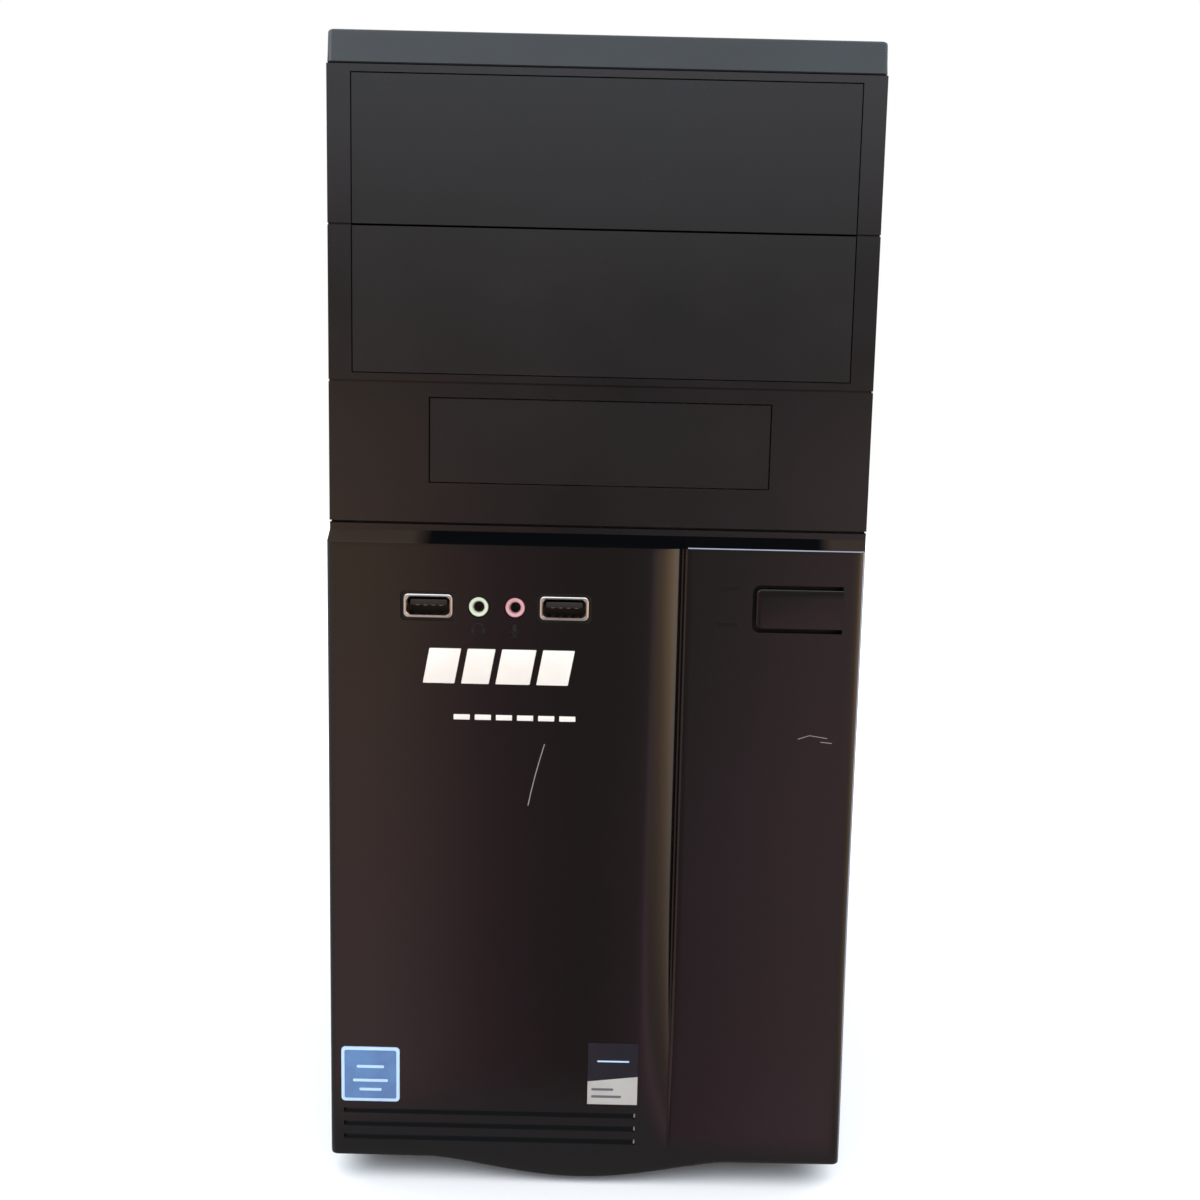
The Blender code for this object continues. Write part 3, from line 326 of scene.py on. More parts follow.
def arc(centre, radius, start, end, steps):
    """Points on a circle's arc between two angles in degrees."""
    points = []
    for i in range(steps + 1):
        a = math.radians(start + (end - start) * i / steps)
        points.append((centre[0] + radius * math.cos(a), centre[1] + radius * math.sin(a)))
    return points


def bevel_edges(bm, edges, offset, segments=2):
    bmesh.ops.bevel(bm, geom=edges, offset=offset, segments=segments, affect="EDGES", profile=0.5)


def skin(rows, closed):
    """Faces between rows of points, joined end to start if closed. Flat ones are left out."""
    bm = bmesh.new()
    grid = [[bm.verts.new(p) for p in row] for row in rows]
    for lower, upper in zip(grid, grid[1:]):
        for i in range(len(lower) if closed else len(lower) - 1):
            j = (i + 1) % len(lower)
            quad = (lower[i], lower[j], upper[j], upper[i])
            if max((quad[0].co - quad[3].co).length, (quad[1].co - quad[2].co).length) > 1e-6:
                bm.faces.new(quad)
    return bm


class Shape:
    """One visual piece under construction, in millimetres, with a material for each part of it."""

    def __init__(self):
        self.bm = bmesh.new()
        self.materials = []

    def take(self, bm, material, matrix=None):
        """Adds a finished part and frees it."""
        if material not in self.materials:
            self.materials.append(material)
        number = self.materials.index(material)
        for face in bm.faces:
            face.material_index = number
        if matrix:
            bm.transform(matrix)
        mesh = bpy.data.meshes.new("part")
        bm.to_mesh(mesh)
        bm.free()
        self.bm.from_mesh(mesh)
        bpy.data.meshes.remove(mesh)
        return self

    def box(self, low, high, material, bevel=0.0):
        low, high = Vector(low), Vector(high)
        bm = bmesh.new()
        bmesh.ops.create_cube(bm, size=1.0, matrix=Matrix.Diagonal((*(high - low), 1.0)))
        if bevel:
            bevel_edges(bm, list(bm.edges), bevel)
        return self.take(bm, material, Matrix.Translation((low + high) / 2))

    def cylinder(self, base, axis, radius, length, material, sides=24, bevel=0.0):
        bm = bmesh.new()
        bmesh.ops.create_cone(
            bm, cap_ends=True, segments=sides, radius1=radius, radius2=radius, depth=length,
            matrix=Matrix.Translation((0, 0, length / 2)),
        )
        if bevel:
            rims = [e for e in bm.edges if any(len(f.verts) > 4 for f in e.link_faces)]
            bevel_edges(bm, rims, bevel)
        return self.take(bm, material, Matrix.Translation(Vector(base)) @ turned(axis))

    def prism(self, outline, start, end, material, bevel=0.0, segments=2, sharp_x=None, upright=False):
        """An X and Z outline pushed along Y from start to end, or X and Y pushed along Z if upright.

        The rims are bevelled, apart from edges that lie at x = sharp_x.
        """
        bm = bmesh.new()

        def lay(across, second, along):
            return (across, second, along) if upright else (across, along, second)

        face = bm.faces.new([bm.verts.new(lay(a, b, start)) for a, b in outline])
        made = bmesh.ops.extrude_face_region(bm, geom=[face])
        moved = [v for v in made["geom"] if isinstance(v, bmesh.types.BMVert)]
        bmesh.ops.translate(bm, verts=moved, vec=Vector(lay(0, 0, end - start)))
        bmesh.ops.recalc_face_normals(bm, faces=bm.faces)
        if bevel:
            caps = [e for e in bm.edges if any(len(f.verts) == len(outline) for f in e.link_faces)]
            if sharp_x is not None:
                caps = [e for e in caps if any(abs(v.co.x - sharp_x) > 1e-4 for v in e.verts)]
            bevel_edges(bm, caps, bevel, segments)
        return self.take(bm, material)

    def lathe(self, profile, at, axis, material, sides=40):
        """Turns (radius, height) points about an axis through at. A closed profile makes a ring."""
        angles = [2 * math.pi * i / sides for i in range(sides)]
        rows = [[(r * math.cos(a), r * math.sin(a), h) for a in angles] for r, h in profile]
        bm = skin(rows, closed=True)
        bmesh.ops.remove_doubles(bm, verts=bm.verts, dist=0.0005)
        bmesh.ops.recalc_face_normals(bm, faces=bm.faces)
        return self.take(bm, material, Matrix.Translation(Vector(at)) @ turned(axis))

    def rings(self, rings, material):
        """A skin through (outline, y) rings, all of one length."""
        rows = [[(x, y, z) for x, z in outline] for outline, y in rings]
        bm = skin(rows, closed=True)
        bmesh.ops.recalc_face_normals(bm, faces=bm.faces)
        return self.take(bm, material)

    def piece(self, name, body="case", replaces=(), slot=None, angle=40.0):
        mesh = bpy.data.meshes.new(name)
        self.bm.to_mesh(mesh)
        self.bm.free()
        mesh.transform(Matrix.Scale(MM, 4))
        for material in self.materials:
            mesh.materials.append(material)
        obj = bpy.data.objects.new(name, mesh)
        bpy.context.scene.collection.objects.link(obj)
        smooth(obj, angle)
        if body:
            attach(obj, body)
        if replaces:
            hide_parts(*replaces)
        return obj


def rounded_outline(width, height, radius, centre, steps=5):
    """A rectangle with round corners, anticlockwise."""
    points = []
    for start, (sx, sy) in zip((0, 90, 180, 270), ((1, 1), (-1, 1), (-1, -1), (1, -1))):
        at = (centre[0] + sx * (width / 2 - radius), centre[1] + sy * (height / 2 - radius))
        points += arc(at, radius, start, start + 90, steps)
    return points


def smooth(obj, angle):
    """Smooth shading, with edges left sharp from an angle in degrees upwards."""
    obj.data.shade_smooth()
    obj.data.set_sharp_from_angle(angle=math.radians(angle))


def bake_modifiers(obj):
    """Replaces an object's mesh with what its modifiers make of it."""
    graph = bpy.context.evaluated_depsgraph_get()
    made = bpy.data.meshes.new_from_object(obj.evaluated_get(graph))
    old = obj.data
    obj.modifiers.clear()
    obj.data = made
    bpy.data.meshes.remove(old)


def thicken(obj, thickness, even):
    """Gives a skin a wall on its inner side."""
    wall = obj.modifiers.new("wall", "SOLIDIFY")
    wall.thickness = thickness * MM
    wall.offset = -1.0
    wall.use_even_offset = even
    bpy.context.view_layer.update()
    bake_modifiers(obj)


def cut_away(obj, cutter):
    """Cuts a shape out of an object and throws the cutter away."""
    tool = cutter.piece("tool", body=None)
    modifier = obj.modifiers.new("cut", "BOOLEAN")
    modifier.operation = "DIFFERENCE"
    modifier.solver = "EXACT"
    modifier.object = tool
    bpy.context.view_layer.update()
    bake_modifiers(obj)
    bpy.data.objects.remove(tool)


# ---------------------------------------------------------------- front mouldings
def lip_height(x):
    """Height of the fascia's lower edge."""
    t = (x - LIP_CENTRE) / LIP_HALF_WIDTH
    if abs(t) >= 1.0:
        return FASCIA_BOTTOM
    return FASCIA_BOTTOM - LIP_DROP * (0.5 + 0.5 * math.cos(math.pi * t)) ** 0.7


def step_strength(z):
    """How much of the step between the two panels is left at a height: none at the lower edge."""
    t = min(max((z - FASCIA_BOTTOM) / STEP_FADE, 0.0), 1.0)
    return t * t * (3 - 2 * t)


def fascia_section(strength=1.0):
    """The fascia's outer line seen from above, from its left rear edge to its right rear edge."""
    right_face = FRONT + (RIGHT_FACE - FRONT) * strength
    valley_depth = VALLEY_DEPTH * strength
    points = [(-HALF_WIDTH, BEZEL_BACK), (-HALF_WIDTH, FRONT + 12.0)]
    points += arc((CORNER - HALF_WIDTH, FRONT + 0.3 + CORNER), CORNER, 180, 270, 6)
    flat_start, flat_end = -HALF_WIDTH + CORNER, STEP_START
    for i in range(1, 40):
        x = flat_start + (flat_end - flat_start) * i / 40
        crown = 0.3 * ((x - flat_end) / (flat_start - flat_end)) ** 2
        points.append((x, FRONT + crown))
    fall, width = right_face - FRONT + valley_depth, STEP_END - STEP_START - 1.6
    sweep = math.radians(68)
    for i in range(15):
        a = sweep * i / 14
        across = width * math.sin(a) / math.sin(sweep)
        points.append((flat_end + across, FRONT + fall * (1 - math.cos(a)) / (1 - math.cos(sweep))))
    valley = points[-1]
    for i in range(1, 8):
        t = i / 7
        points.append((valley[0] + 0.5 * t, valley[1] - 0.05 * strength * math.sin(math.pi * t)))
    for i in range(1, 9):
        a = math.radians(90 * i / 8)
        across = valley[0] + 0.5 + 1.1 * (1 - math.cos(a))
        points.append((across, valley[1] - valley_depth * math.sin(a)))
    start = points[-1][0]
    for i in range(1, 30):
        x = start + (HALF_WIDTH - CORNER - start) * i / 30
        points.append((x, right_face + RIGHT_CROWN * (i / 30) ** 2))
    corner = (HALF_WIDTH - CORNER, right_face + RIGHT_CROWN + CORNER)
    points += arc(corner, CORNER, 270, 360, 6)
    return points + [(HALF_WIDTH, RIGHT_FACE + 9.0), (HALF_WIDTH, BEZEL_BACK)]


def fascia_rows():
    """Rows of points up the fascia's skin, from its bowed lower edge to the lip along its top."""
    section, foot = fascia_section(), fascia_section(0.0)
    back = UPPER_FACE + 0.4
    rows = []
    for lift, inset in ((0.0, 1.1), (0.3, 0.35), (1.1, 0.0)):
        rows.append([(x, min(y + inset, BEZEL_BACK), lip_height(x) + lift) for x, y in foot])
    heights = [FASCIA_BOTTOM + 4.0 + 8.0 * i for i in range(12)]
    for z in heights + [130.0, 172.0, 197.0, SHOULDER - SHOULDER_EDGE]:
        rows.append([(x, y, z) for x, y in fascia_section(step_strength(z))])
    for i in range(1, 5):
        a = math.radians(60 * i / 4)
        inset, z = SHOULDER_EDGE * (1 - math.cos(a)), SHOULDER - SHOULDER_EDGE * (1 - math.sin(a))
        rows.append([(x, max(y, min(y + inset, back)), z) for x, y in section])
    top = rows[-1]
    for t in (1 / 3, 2 / 3, 1.0):
        rows.append([(x, y + (max(y, back) - y) * t, z + (LIP_FOOT - z) * t) for x, y, z in top])
    rows.append([(x, y, FASCIA_TOP - 0.3) for x, y, z in rows[-1]])
    rows.append([(x, min(y + 0.3, BEZEL_BACK), FASCIA_TOP) for x, y, z in rows[-1]])
    return rows


def fascia_slot(x, y, z):
    """Material number of a face of the fascia: 0 gloss, 1 band in painted shade, 2 painted edge highlight,
    3 frame plastic.
    """
    on_side = y > UPPER_FACE + 1.0
    if z > LIP_FOOT and not on_side:
        return 3
    # The sloping band above the shoulder: painted shade
    if z > SHOULDER - 0.12 and not on_side:
        return 1
    # The shoulder's round edge: painted highlight on the right panel, the band's painted shade on the left
    # panel so that it shows no highlight
    if z > SHOULDER - SHOULDER_EDGE:
        return 2 if x > STEP_END and not on_side else 1
    # The outermost faces of the right corner: painted highlight
    return 2 if x > HALF_WIDTH - 0.6 and not on_side else 0


def make_fascia():
    """The fascia as one skin, thickened and cut, with bands of painted shade, painted highlight and frame
    plastic along its edges.
    """
    fascia = Shape().take(skin(fascia_rows(), closed=False), gloss_black)
    fascia = fascia.piece("fascia_shell", replaces=["gloss_fascia"], slot="gloss_black_plastic")
    for material in (band_painted_shade_and_reflection, painted_edge_highlight, frame_black):
        fascia.data.materials.append(material)
    for face in fascia.data.polygons:
        face.material_index = fascia_slot(*(face.center / MM))
    thicken(fascia, FASCIA_WALL, even=True)
    tools = Shape()
    for node in FRONT_USB:
        middle = middle_of(node)
        hole = rounded_outline(16.6, 9.0, 1.4, (middle.x, middle.z))
        tools.prism(hole, FRONT - 5, FRONT + 9, gloss_black)
    for node in ("headphone_jack", "microphone_jack"):
        middle = middle_of(node)
        tools.cylinder((middle.x, FRONT - 5, middle.z), "Y", 3.3, 14, gloss_black, 32)
    opening = tongue_outline(BUTTON_SLOT, BUTTON_HAIRLINE, OPENING_RADIUS)
    tools.prism(opening, FRONT - 5, FRONT + 9, gloss_black)
    width, centre = GROOVE_END - GROOVE_START, (GROOVE_END + GROOVE_START) / 2
    for z in GROOVE_ROWS:
        groove = rounded_outline(width, 1.8, 0.6, (centre, z), 3)
        tools.prism(groove, FRONT - 5, FRONT + 1.5, gloss_black)
    cut_away(fascia, tools)
    smooth(fascia, 24)


def tongue_outline(grow, grow_right, radius):
    """The button's outline, made wider by grow on three sides and by grow_right at its right end."""
    left, right = BUTTON_LOW.x - grow, BUTTON_HIGH.x + grow_right
    middle, half = (BUTTON_LOW.z + BUTTON_HIGH.z) / 2, BUTTON_HALF_HEIGHT + grow
    outline = [(right, middle - half), (right, middle + half)]
    outline += arc((left + radius, middle + half - radius), radius, 90, 180, 6)
    return outline + arc((left + radius, middle - half + radius), radius, 180, 270, 6)


def make_button():
    """The tongue with its plunger, stiffening rib and hinge pin, and the dark well behind it."""
    middle, half = (BUTTON_LOW.z + BUTTON_HIGH.z) / 2, BUTTON_HALF_HEIGHT
    left, right, back = BUTTON_LOW.x, BUTTON_HIGH.x, RIGHT_FACE + 1.8
    shape = Shape()
    outline = tongue_outline(0.0, 0.0, BUTTON_RADIUS)
    shape.prism(outline, RIGHT_FACE + 0.1, RIGHT_FACE + 2.0, gloss_black, 0.3, 3, right)
    shape.box((56.0, back, 184.0), (60.0, BUTTON_HIGH.y, 188.0), gloss_black, 0.4)
    rib = (right, RIGHT_FACE + 3.5, middle + 5.0)
    shape.box((right - 3.0, back, middle - 5.0), rib, gloss_black, 0.3)
    pin = (right - 0.9, RIGHT_FACE + 3.5, middle - half)
    shape.cylinder(pin, "Z", 0.85, 2 * half, gloss_black, 16)
    shape.piece("power_button_tongue", "button", ["power_button"], "gloss_black_plastic")
    well = Shape()
    start, end = left - 2.5, right + 2.1
    spans = ((start, end, -9, -4), (start, end, 4, 9), (start, 54.0, -4, 4), (61.5, end, -4, 4))
    for x0, x1, z0, z1 in spans:
        low = (x0, RIGHT_FACE + 5.4, middle + z0)
        well.box(low, (x1, RIGHT_FACE + 5.9, middle + z1), socket_black)
    well.piece("button_well")


def make_seam():
    """The dark edge of the moulding that fills the line between upper and lower bezel."""
    low = (-HALF_WIDTH + 0.3, UPPER_FACE + 1.1, FASCIA_TOP + 0.02)
    high = (HALF_WIDTH - 0.3, BEZEL_BACK - 1.0, FRAME_LOW.z - 0.02)
    Shape().box(low, high, print_black, 0.1).piece("bezel_seam")


def make_painted_frame_highlight():
    """A painted highlight: a thin bright strip down the round right edge of the upper moulding."""
    radius, depth = 0.72, 0.12
    centre = (HALF_WIDTH - 0.02 - radius, UPPER_FACE + 0.02 + radius)
    outline = arc(centre, radius, -70, -5, 6) + arc(centre, radius - depth, -5, -70, 6)
    low, high = FRAME_LOW.z + 0.8, FRAME_HIGH.z - 0.8
    edge = Shape().prism(outline, low, high, painted_edge_highlight, upright=True)
    edge.piece("painted_frame_highlight", slot="matte_black_plastic")


def make_cap():
    """The top cap: its face leans back a little, up to a small round edge."""
    low, high = CAP_LOW, CAP_HIGH
    lean, radius = 1.3, 0.9
    shoulder = high.z - radius
    side = [(low.z, 0.35), (low.z + 0.35, 0.0)]
    side += [(low.z + (shoulder - low.z) * t, lean * t) for t in (0.35, 0.7, 1.0)]
    for i in range(1, 6):
        a = math.radians(90 * i / 5)
        side.append((shoulder + radius * math.sin(a), lean + radius * (1 - math.cos(a))))
    side.append((high.z, high.y - low.y))
    corner = 1.6
    plan = [(-HALF_WIDTH, BEZEL_BACK)]
    plan += arc((corner - HALF_WIDTH, low.y + corner), corner, 180, 270, 5)
    plan.append((0.0, low.y))
    plan += arc((HALF_WIDTH - corner, low.y + corner), corner, 270, 360, 5)
    plan.append((HALF_WIDTH, BEZEL_BACK))
    rows = []
    for z, inset in side:
        shrink = 1.0 - 0.5 * max(0.0, (z - shoulder) / radius) ** 2 / HALF_WIDTH
        rows.append([(x * shrink, min(y + inset, BEZEL_BACK), z) for x, y in plan])
    bm = skin(rows, closed=False)
    bmesh.ops.remove_doubles(bm, verts=bm.verts, dist=0.001)
    cap = Shape().take(bm, cap_black)
    cap = cap.piece("cap_shell", replaces=["top_cap"], slot="matte_black_plastic")
    thicken(cap, CAP_WALL, even=False)
    smooth(cap, 40)


# Rings of a front USB lip: depth behind the front, width, height
USB_LIP = (
    (2.4, 12.6, 5.2), (1.1, 13.6, 6.0), (0.5, 14.4, 6.8), (0.3, 14.6, 7.0), (0.2, 14.3, 6.7),
    (0.25, 13.3, 5.8), (0.6, 12.8, 5.35), (2.2, 12.2, 4.8), (12.0, 12.2, 4.8),
)
# Radius and depth along a front jack's ring
JACK_RING = (
    (2.95, 12.0), (2.95, 0.4), (2.87, 0.12), (2.7, 0.0), (2.2, 0.05), (1.9, 0.3), (1.8, 0.9), (1.8, 12.0),
)


def make_front_sockets():
    shell, inside = Shape(), Shape()
    for node in FRONT_USB:
        high, middle = corners(node)[1], middle_of(node)
        x, z, centre = middle.x, middle.z, (middle.x, middle.z)
        back = FRONT + 12.0
        rings = []
        for y, width, height in ((high.y - FRONT, 12.6, 5.2), *USB_LIP):
            radius = min(1.3, height / 4)
            rings.append((rounded_outline(width, height, radius, centre), FRONT + y))
        shell.rings(rings, nickel)
        inside.box((x - 6.3, back, z - 2.6), (x + 6.3, back + 1.0, z + 2.6), socket_black)
        inside.box((x - 5.6, FRONT + 1.8, z + 0.1), (x + 5.6, back, z + 1.9), socket_black, 0.25)
        for i in range(4):
            pin = x - 3.6 + 2.4 * i
            inside.box((pin - 0.5, FRONT + 3.0, z - 0.1), (pin + 0.5, back - 1.0, z + 0.15), gold)
        outline = rounded_outline(19.0, 11.4, 1.8, centre)
        hole = rounded_outline(13.0, 5.6, 1.2, centre)
        inside.rings([(outline, FRONT + 1.7), (hole, FRONT + 1.7)], socket_black)
    shell.piece("front_usb_shells", replaces=FRONT_USB, slot="nickel")
    inside.piece("front_usb_insides", slot="dark_plastic")
    for node, material, slot in (
        ("headphone_jack", mint, "mint_plastic"),
        ("microphone_jack", pink, "pink_plastic"),
    ):
        middle = middle_of(node)
        at = (middle.x, FRONT + 0.1, middle.z)
        shape = Shape()
        shape.lathe(JACK_RING, at, "Y", material)
        shape.lathe([(1.79, 1.4), (1.55, 1.4), (1.5, 12.0)], at, "Y", nickel)
        shape.cylinder((at[0], at[1] + 11.0, at[2]), "Y", 3.0, 0.5, socket_black)
        shape.lathe([(3.9, 1.6), (2.9, 1.6)], at, "Y", socket_black)
        shape.piece(node + "_ring", replaces=[node], slot=slot)


def make_indicators():
    """Two dark windows, flush with the face."""
    for node in ("power_indicator", "drive_indicator"):
        low, high = corners(node)
        centre = ((low.x + high.x) / 2, (low.z + high.z) / 2)
        outline = rounded_outline(high.x - low.x, high.z - low.z, 0.6, centre)
        window = Shape().prism(outline, RIGHT_FACE - 0.04, RIGHT_FACE + 1.0, smoked, 0.03, 1)
        window.piece(node + "_window", replaces=[node], slot="smoked_plastic")


def make_socket_symbols():
    """A headphone and a microphone, printed under the jacks."""
    marks = Shape()

    def bow(centre, inner, outer, start, end):
        return arc(centre, outer, start, end, 14) + arc(centre, inner, end, start, 14)

    for outline in (
        bow((-35.5, 178.7), 1.35, 1.75, 0, 180),
        rounded_outline(1.0, 1.7, 0.3, (-37.1, 178.1), 3),
        rounded_outline(1.0, 1.7, 0.3, (-33.9, 178.1), 3),
        rounded_outline(1.2, 2.4, 0.55, (-24.5, 179.0), 4),
        bow((-24.5, 178.7), 1.15, 1.45, 200, 340),
        rounded_outline(0.3, 1.2, 0.1, (-24.5, 176.9), 2),
        rounded_outline(1.6, 0.3, 0.1, (-24.5, 176.3), 2),
    ):
        marks.prism(outline, FRONT - 0.03, FRONT + 0.32, print_black)
    marks.piece("socket_symbols")


# Scuffs on the two panels, and half of the long one's width
LONG_SCUFF = ((-14.9, 143.5), (-16.2, 139.0), (-17.6, 133.8), (-18.9, 128.2), (-19.7, 124.2))
SCUFF_HALF_WIDTH = 0.16
SHORT_SCUFFS = (
    ((63.0, 146.0), (66.5, 147.2)), ((66.5, 147.2), (72.0, 146.4)), ((70.0, 145.2), (73.5, 144.9)),
)


def make_wear_and_glints():
    """Light scuffs, and painted highlights at the right ends of the grooves in place of glints."""
    wear = Shape()
    half = SCUFF_HALF_WIDTH
    for (x0, z0), (x1, z1) in zip(LONG_SCUFF, LONG_SCUFF[1:]):
        strip = [(x0 - half, z0), (x1 - half, z1), (x1 + half, z1), (x0 + half, z0)]
        wear.prism(strip, FRONT - 0.01, FRONT + 0.22, scratch_and_glint_grey)
    for (x0, z0), (x1, z1) in SHORT_SCUFFS:
        strip = [(x0, z0), (x1, z1), (x1, z1 + 0.22), (x0, z0 + 0.22)]
        wear.prism(strip, RIGHT_FACE - 0.01, RIGHT_FACE + 0.22, scratch_and_glint_grey)
    # Painted highlights: small pale strips at the right ends of the grooves, standing in for glints
    for z in GROOVE_ROWS:
        x = GROOVE_END - 0.75
        glint = [(x, z - 0.6), (x + 0.5, z - 0.6), (x + 0.5, z + 0.8), (x + 0.1, z + 0.8)]
        wear.prism(glint, FRONT + 0.3, FRONT + 1.2, scratch_and_glint_grey)
    wear.piece("fascia_scratches_and_glints")


def make_badges():
    """Plain blocks and dashes in place of the two lines of the badge."""
    low, high = corners("nameplate")
    badge = Shape()
    lean, back = 2.0, FRONT + 0.25
    for start, end in ((0.0, 9.6), (11.6, 20.0), (22.0, 32.4), (34.4, 44.0)):
        x0, x1 = low.x + start, low.x + end
        outline = [(x0, low.z), (x1, low.z), (x1 + lean, high.z), (x0 + lean, high.z)]
        badge.prism(outline, low.y + 0.25, back, satin_silver, 0.25)
    badge.piece("badge_blocks", replaces=["nameplate"], slot="satin_silver")
    low, high = corners("nameplate_bar")
    bar = Shape()
    count, gap = 6, 1.5
    step = (high.x - low.x + gap) / count
    bottom, top = low.z + 0.5, high.z - 0.9
    for i in range(count):
        x = low.x + i * step
        end = x + step - gap
        outline = [(x, bottom), (end, bottom), (end, top), (x, top)]
        bar.prism(outline, low.y + 0.3, back, satin_silver, 0.12)
    bar.piece("badge_dashes", replaces=["nameplate_bar"], slot="satin_silver")


def make_stickers():
    """A framed blue sticker and a slanting two-tone one, with plain bars for print."""
    low, high = corners("blue_sticker")
    middle, size = (low + high) / 2, high - low
    centre = (middle.x, middle.z)
    sticker = Shape()
    edge = rounded_outline(size.x, size.z, 1.2, centre)
    sticker.prism(edge, FRONT - 0.18, FRONT + 0.3, label_pale, 0.05)
    field = rounded_outline(size.x - 2.0, size.z - 2.0, 0.6, centre)
    sticker.prism(field, FRONT - 0.22, FRONT, label_blue)
    for dz, width in ((2.6, 8.6), (-2.0, 11.0), (-5.0, 7.0)):
        bar = rounded_outline(width, 0.9, 0.3, (middle.x, middle.z + dz), 2)
        sticker.prism(bar, FRONT - 0.25, FRONT, label_pale)
    sticker.piece("blue_sticker_face", replaces=["blue_sticker"], slot="blue_label")

    pale_bar = 0.55 * size.x
    low, high = corners("two_tone_sticker")
    sticker = Shape()
    split = ((low.x, low.z + 7.6), (high.x, low.z + 9.4))
    base = FRONT - 0.2
    lower = [(low.x, low.z), (high.x, low.z), split[1], split[0]]
    sticker.prism(lower, base, FRONT + 0.3, label_white)
    upper = [*split, (high.x, high.z), (low.x, high.z)]
    sticker.prism(upper, base, FRONT + 0.3, label_navy)
    for dz, width in ((5.0, 7.0), (2.6, 9.5)):
        bar = rounded_outline(width, 0.8, 0.3, (low.x + 1.2 + width / 2, low.z + dz), 2)
        sticker.prism(bar, base - 0.03, FRONT, label_grey)
    bar = rounded_outline(pale_bar, 0.5, 0.2, (low.x + 8.0, high.z - 6.0), 2)
    sticker.prism(bar, base - 0.03, FRONT, label_pale)
    sticker.piece("two_tone_sticker_face", replaces=["two_tone_sticker"], slot="grey_label")


# ---------------------------------------------------------------- rear sockets and screws
SCREW_SIDES = 20


def screw(shape, at, axis, radius, flip=False):
    """A pan head with a cross recess, standing on the point at."""
    spin = turned(axis)
    if flip:
        spin = Matrix.Rotation(math.pi, 4, "Z") @ spin
    dome = ((radius * 0.55, 1.55), (radius * 0.9, 1.0), (radius, 0.35), (radius, 0.0))
    bm = bmesh.new()
    angles = [2 * math.pi * i / SCREW_SIDES for i in range(SCREW_SIDES)]
    rows = [[bm.verts.new((r * math.cos(a), r * math.sin(a), h)) for a in angles] for r, h in dome]
    top = bm.verts.new((0.0, 0.0, 1.7))
    for i in range(SCREW_SIDES):
        j = (i + 1) % SCREW_SIDES
        bm.faces.new((rows[0][i], rows[0][j], top))
        for a, b in zip(rows, rows[1:]):
            bm.faces.new((a[i], b[i], b[j], a[j]))
    bmesh.ops.recalc_face_normals(bm, faces=bm.faces)
    place = Matrix.Translation(Vector(at)) @ spin
    shape.take(bm, nickel, place)
    for turn in (0.0, math.pi / 2):
        slot = bmesh.new()
        bmesh.ops.create_cube(slot, size=1.0, matrix=Matrix.Diagonal((radius * 1.1, 0.55, 0.3, 1.0)))
        lay = place @ Matrix.Rotation(turn + 0.4, 4, "Z") @ Matrix.Translation((0, 0, 1.62))
        shape.take(slot, socket_black, lay)


def make_vga():
    """The VGA port's slanted shell, its blue block with 15 holes, and two hexagon nuts."""
    face, middle = corners("vga_port")[1].y, middle_of("vga_port")
    cx, cz = middle.x, middle.z
    vga = Shape()
    outline = [(cx - 4.0, cz - 7.4), (cx - 4.0, cz + 7.4), (cx + 4.0, cz + 8.4), (cx + 4.0, cz - 8.4)]
    inner = [(cx + (x - cx) * 0.86, cz + (z - cz) * 0.93) for x, z in outline]
    ends = ((outline, face - 0.2), (outline, face + 4.6), (inner, face + 4.6), (inner, face + 0.2))
    vga.rings(ends, nickel)
    vga.prism(inner, face - 0.2, face + 3.4, sky_blue)
    for row in range(3):
        for column in range(5):
            x, z = cx - 2.0 + 2.0 * row, cz - 4.6 + 2.3 * column + (0.9 if row == 1 else 0.0)
            vga.cylinder((x, face + 3.3, z), "Y", 0.42, 0.2, socket_black, 10)
    for z in (cz - 12.3, cz + 12.3):
        vga.cylinder((cx, face - 0.2, z), "Y", 2.6, 4.2, nickel, 6, bevel=0.3)
        vga.cylinder((cx, face + 3.9, z), "Y", 1.3, 0.15, socket_black, 16)
    vga.piece("vga_connector", slot="nickel")


def make_socket_inserts():
    """Contact tongues inside the HDMI, USB and network sockets, and the network lamps."""
    inserts = Shape()
    y, middle = corners("hdmi_port")[1].y, middle_of("hdmi_port")
    cx, cz = middle.x, middle.z
    inserts.box((cx - 0.6, y - 9.5, cz - 5.4), (cx + 0.7, y - 1.5, cz + 5.4), socket_black, 0.2)
    for node in ("usb_stack", "lan_usb_stack"):
        high, cz = corners(node)[1], middle_of(node).z
        y = high.y
        for x in (high.x - 2.9, high.x - 10.5):
            low = (x - 1.7, y - 13.5, cz - 5.4)
            inserts.box(low, (x, y - 1.2, cz + 5.4), socket_black, 0.25)
            for i in range(4):
                z = cz - 3.6 + 2.4 * i
                inserts.box((x - 1.85, y - 11.0, z - 0.5), (x - 1.65, y - 2.6, z + 0.5), gold)
    # The network socket, in the stack that the loop ends with
    cx = high.x - 23.2
    back = (cx - 4.1, y - 13.6, cz - 5.7)
    inserts.box(back, (cx + 4.1, y - 13.0, cz + 5.7), socket_black)
    for i in range(8):
        z = cz - 3.6 + 1.03 * i
        inserts.box((cx + 2.4, y - 12.5, z - 0.2), (cx + 2.8, y - 2.2, z + 0.2), gold)
    for z, colour in ((cz - 5.6, mint), (cz + 5.6, gold)):
        outline = rounded_outline(1.6, 2.6, 0.3, (cx - 5.1, z), 3)
        inserts.prism(outline, y - 0.4, y + 0.15, colour)
    inserts.piece("rear_socket_inserts", slot="dark_plastic")


PS2_RING = ((6.3, -0.3), (6.3, 0.5), (6.0, 0.9), (4.7, 0.9), (4.3, 0.4), (4.3, -8.0))
AUDIO_RING = ((4.3, -0.2), (4.3, 0.6), (4.0, 0.9), (2.3, 0.9), (1.8, 0.5), (1.8, -6.0))


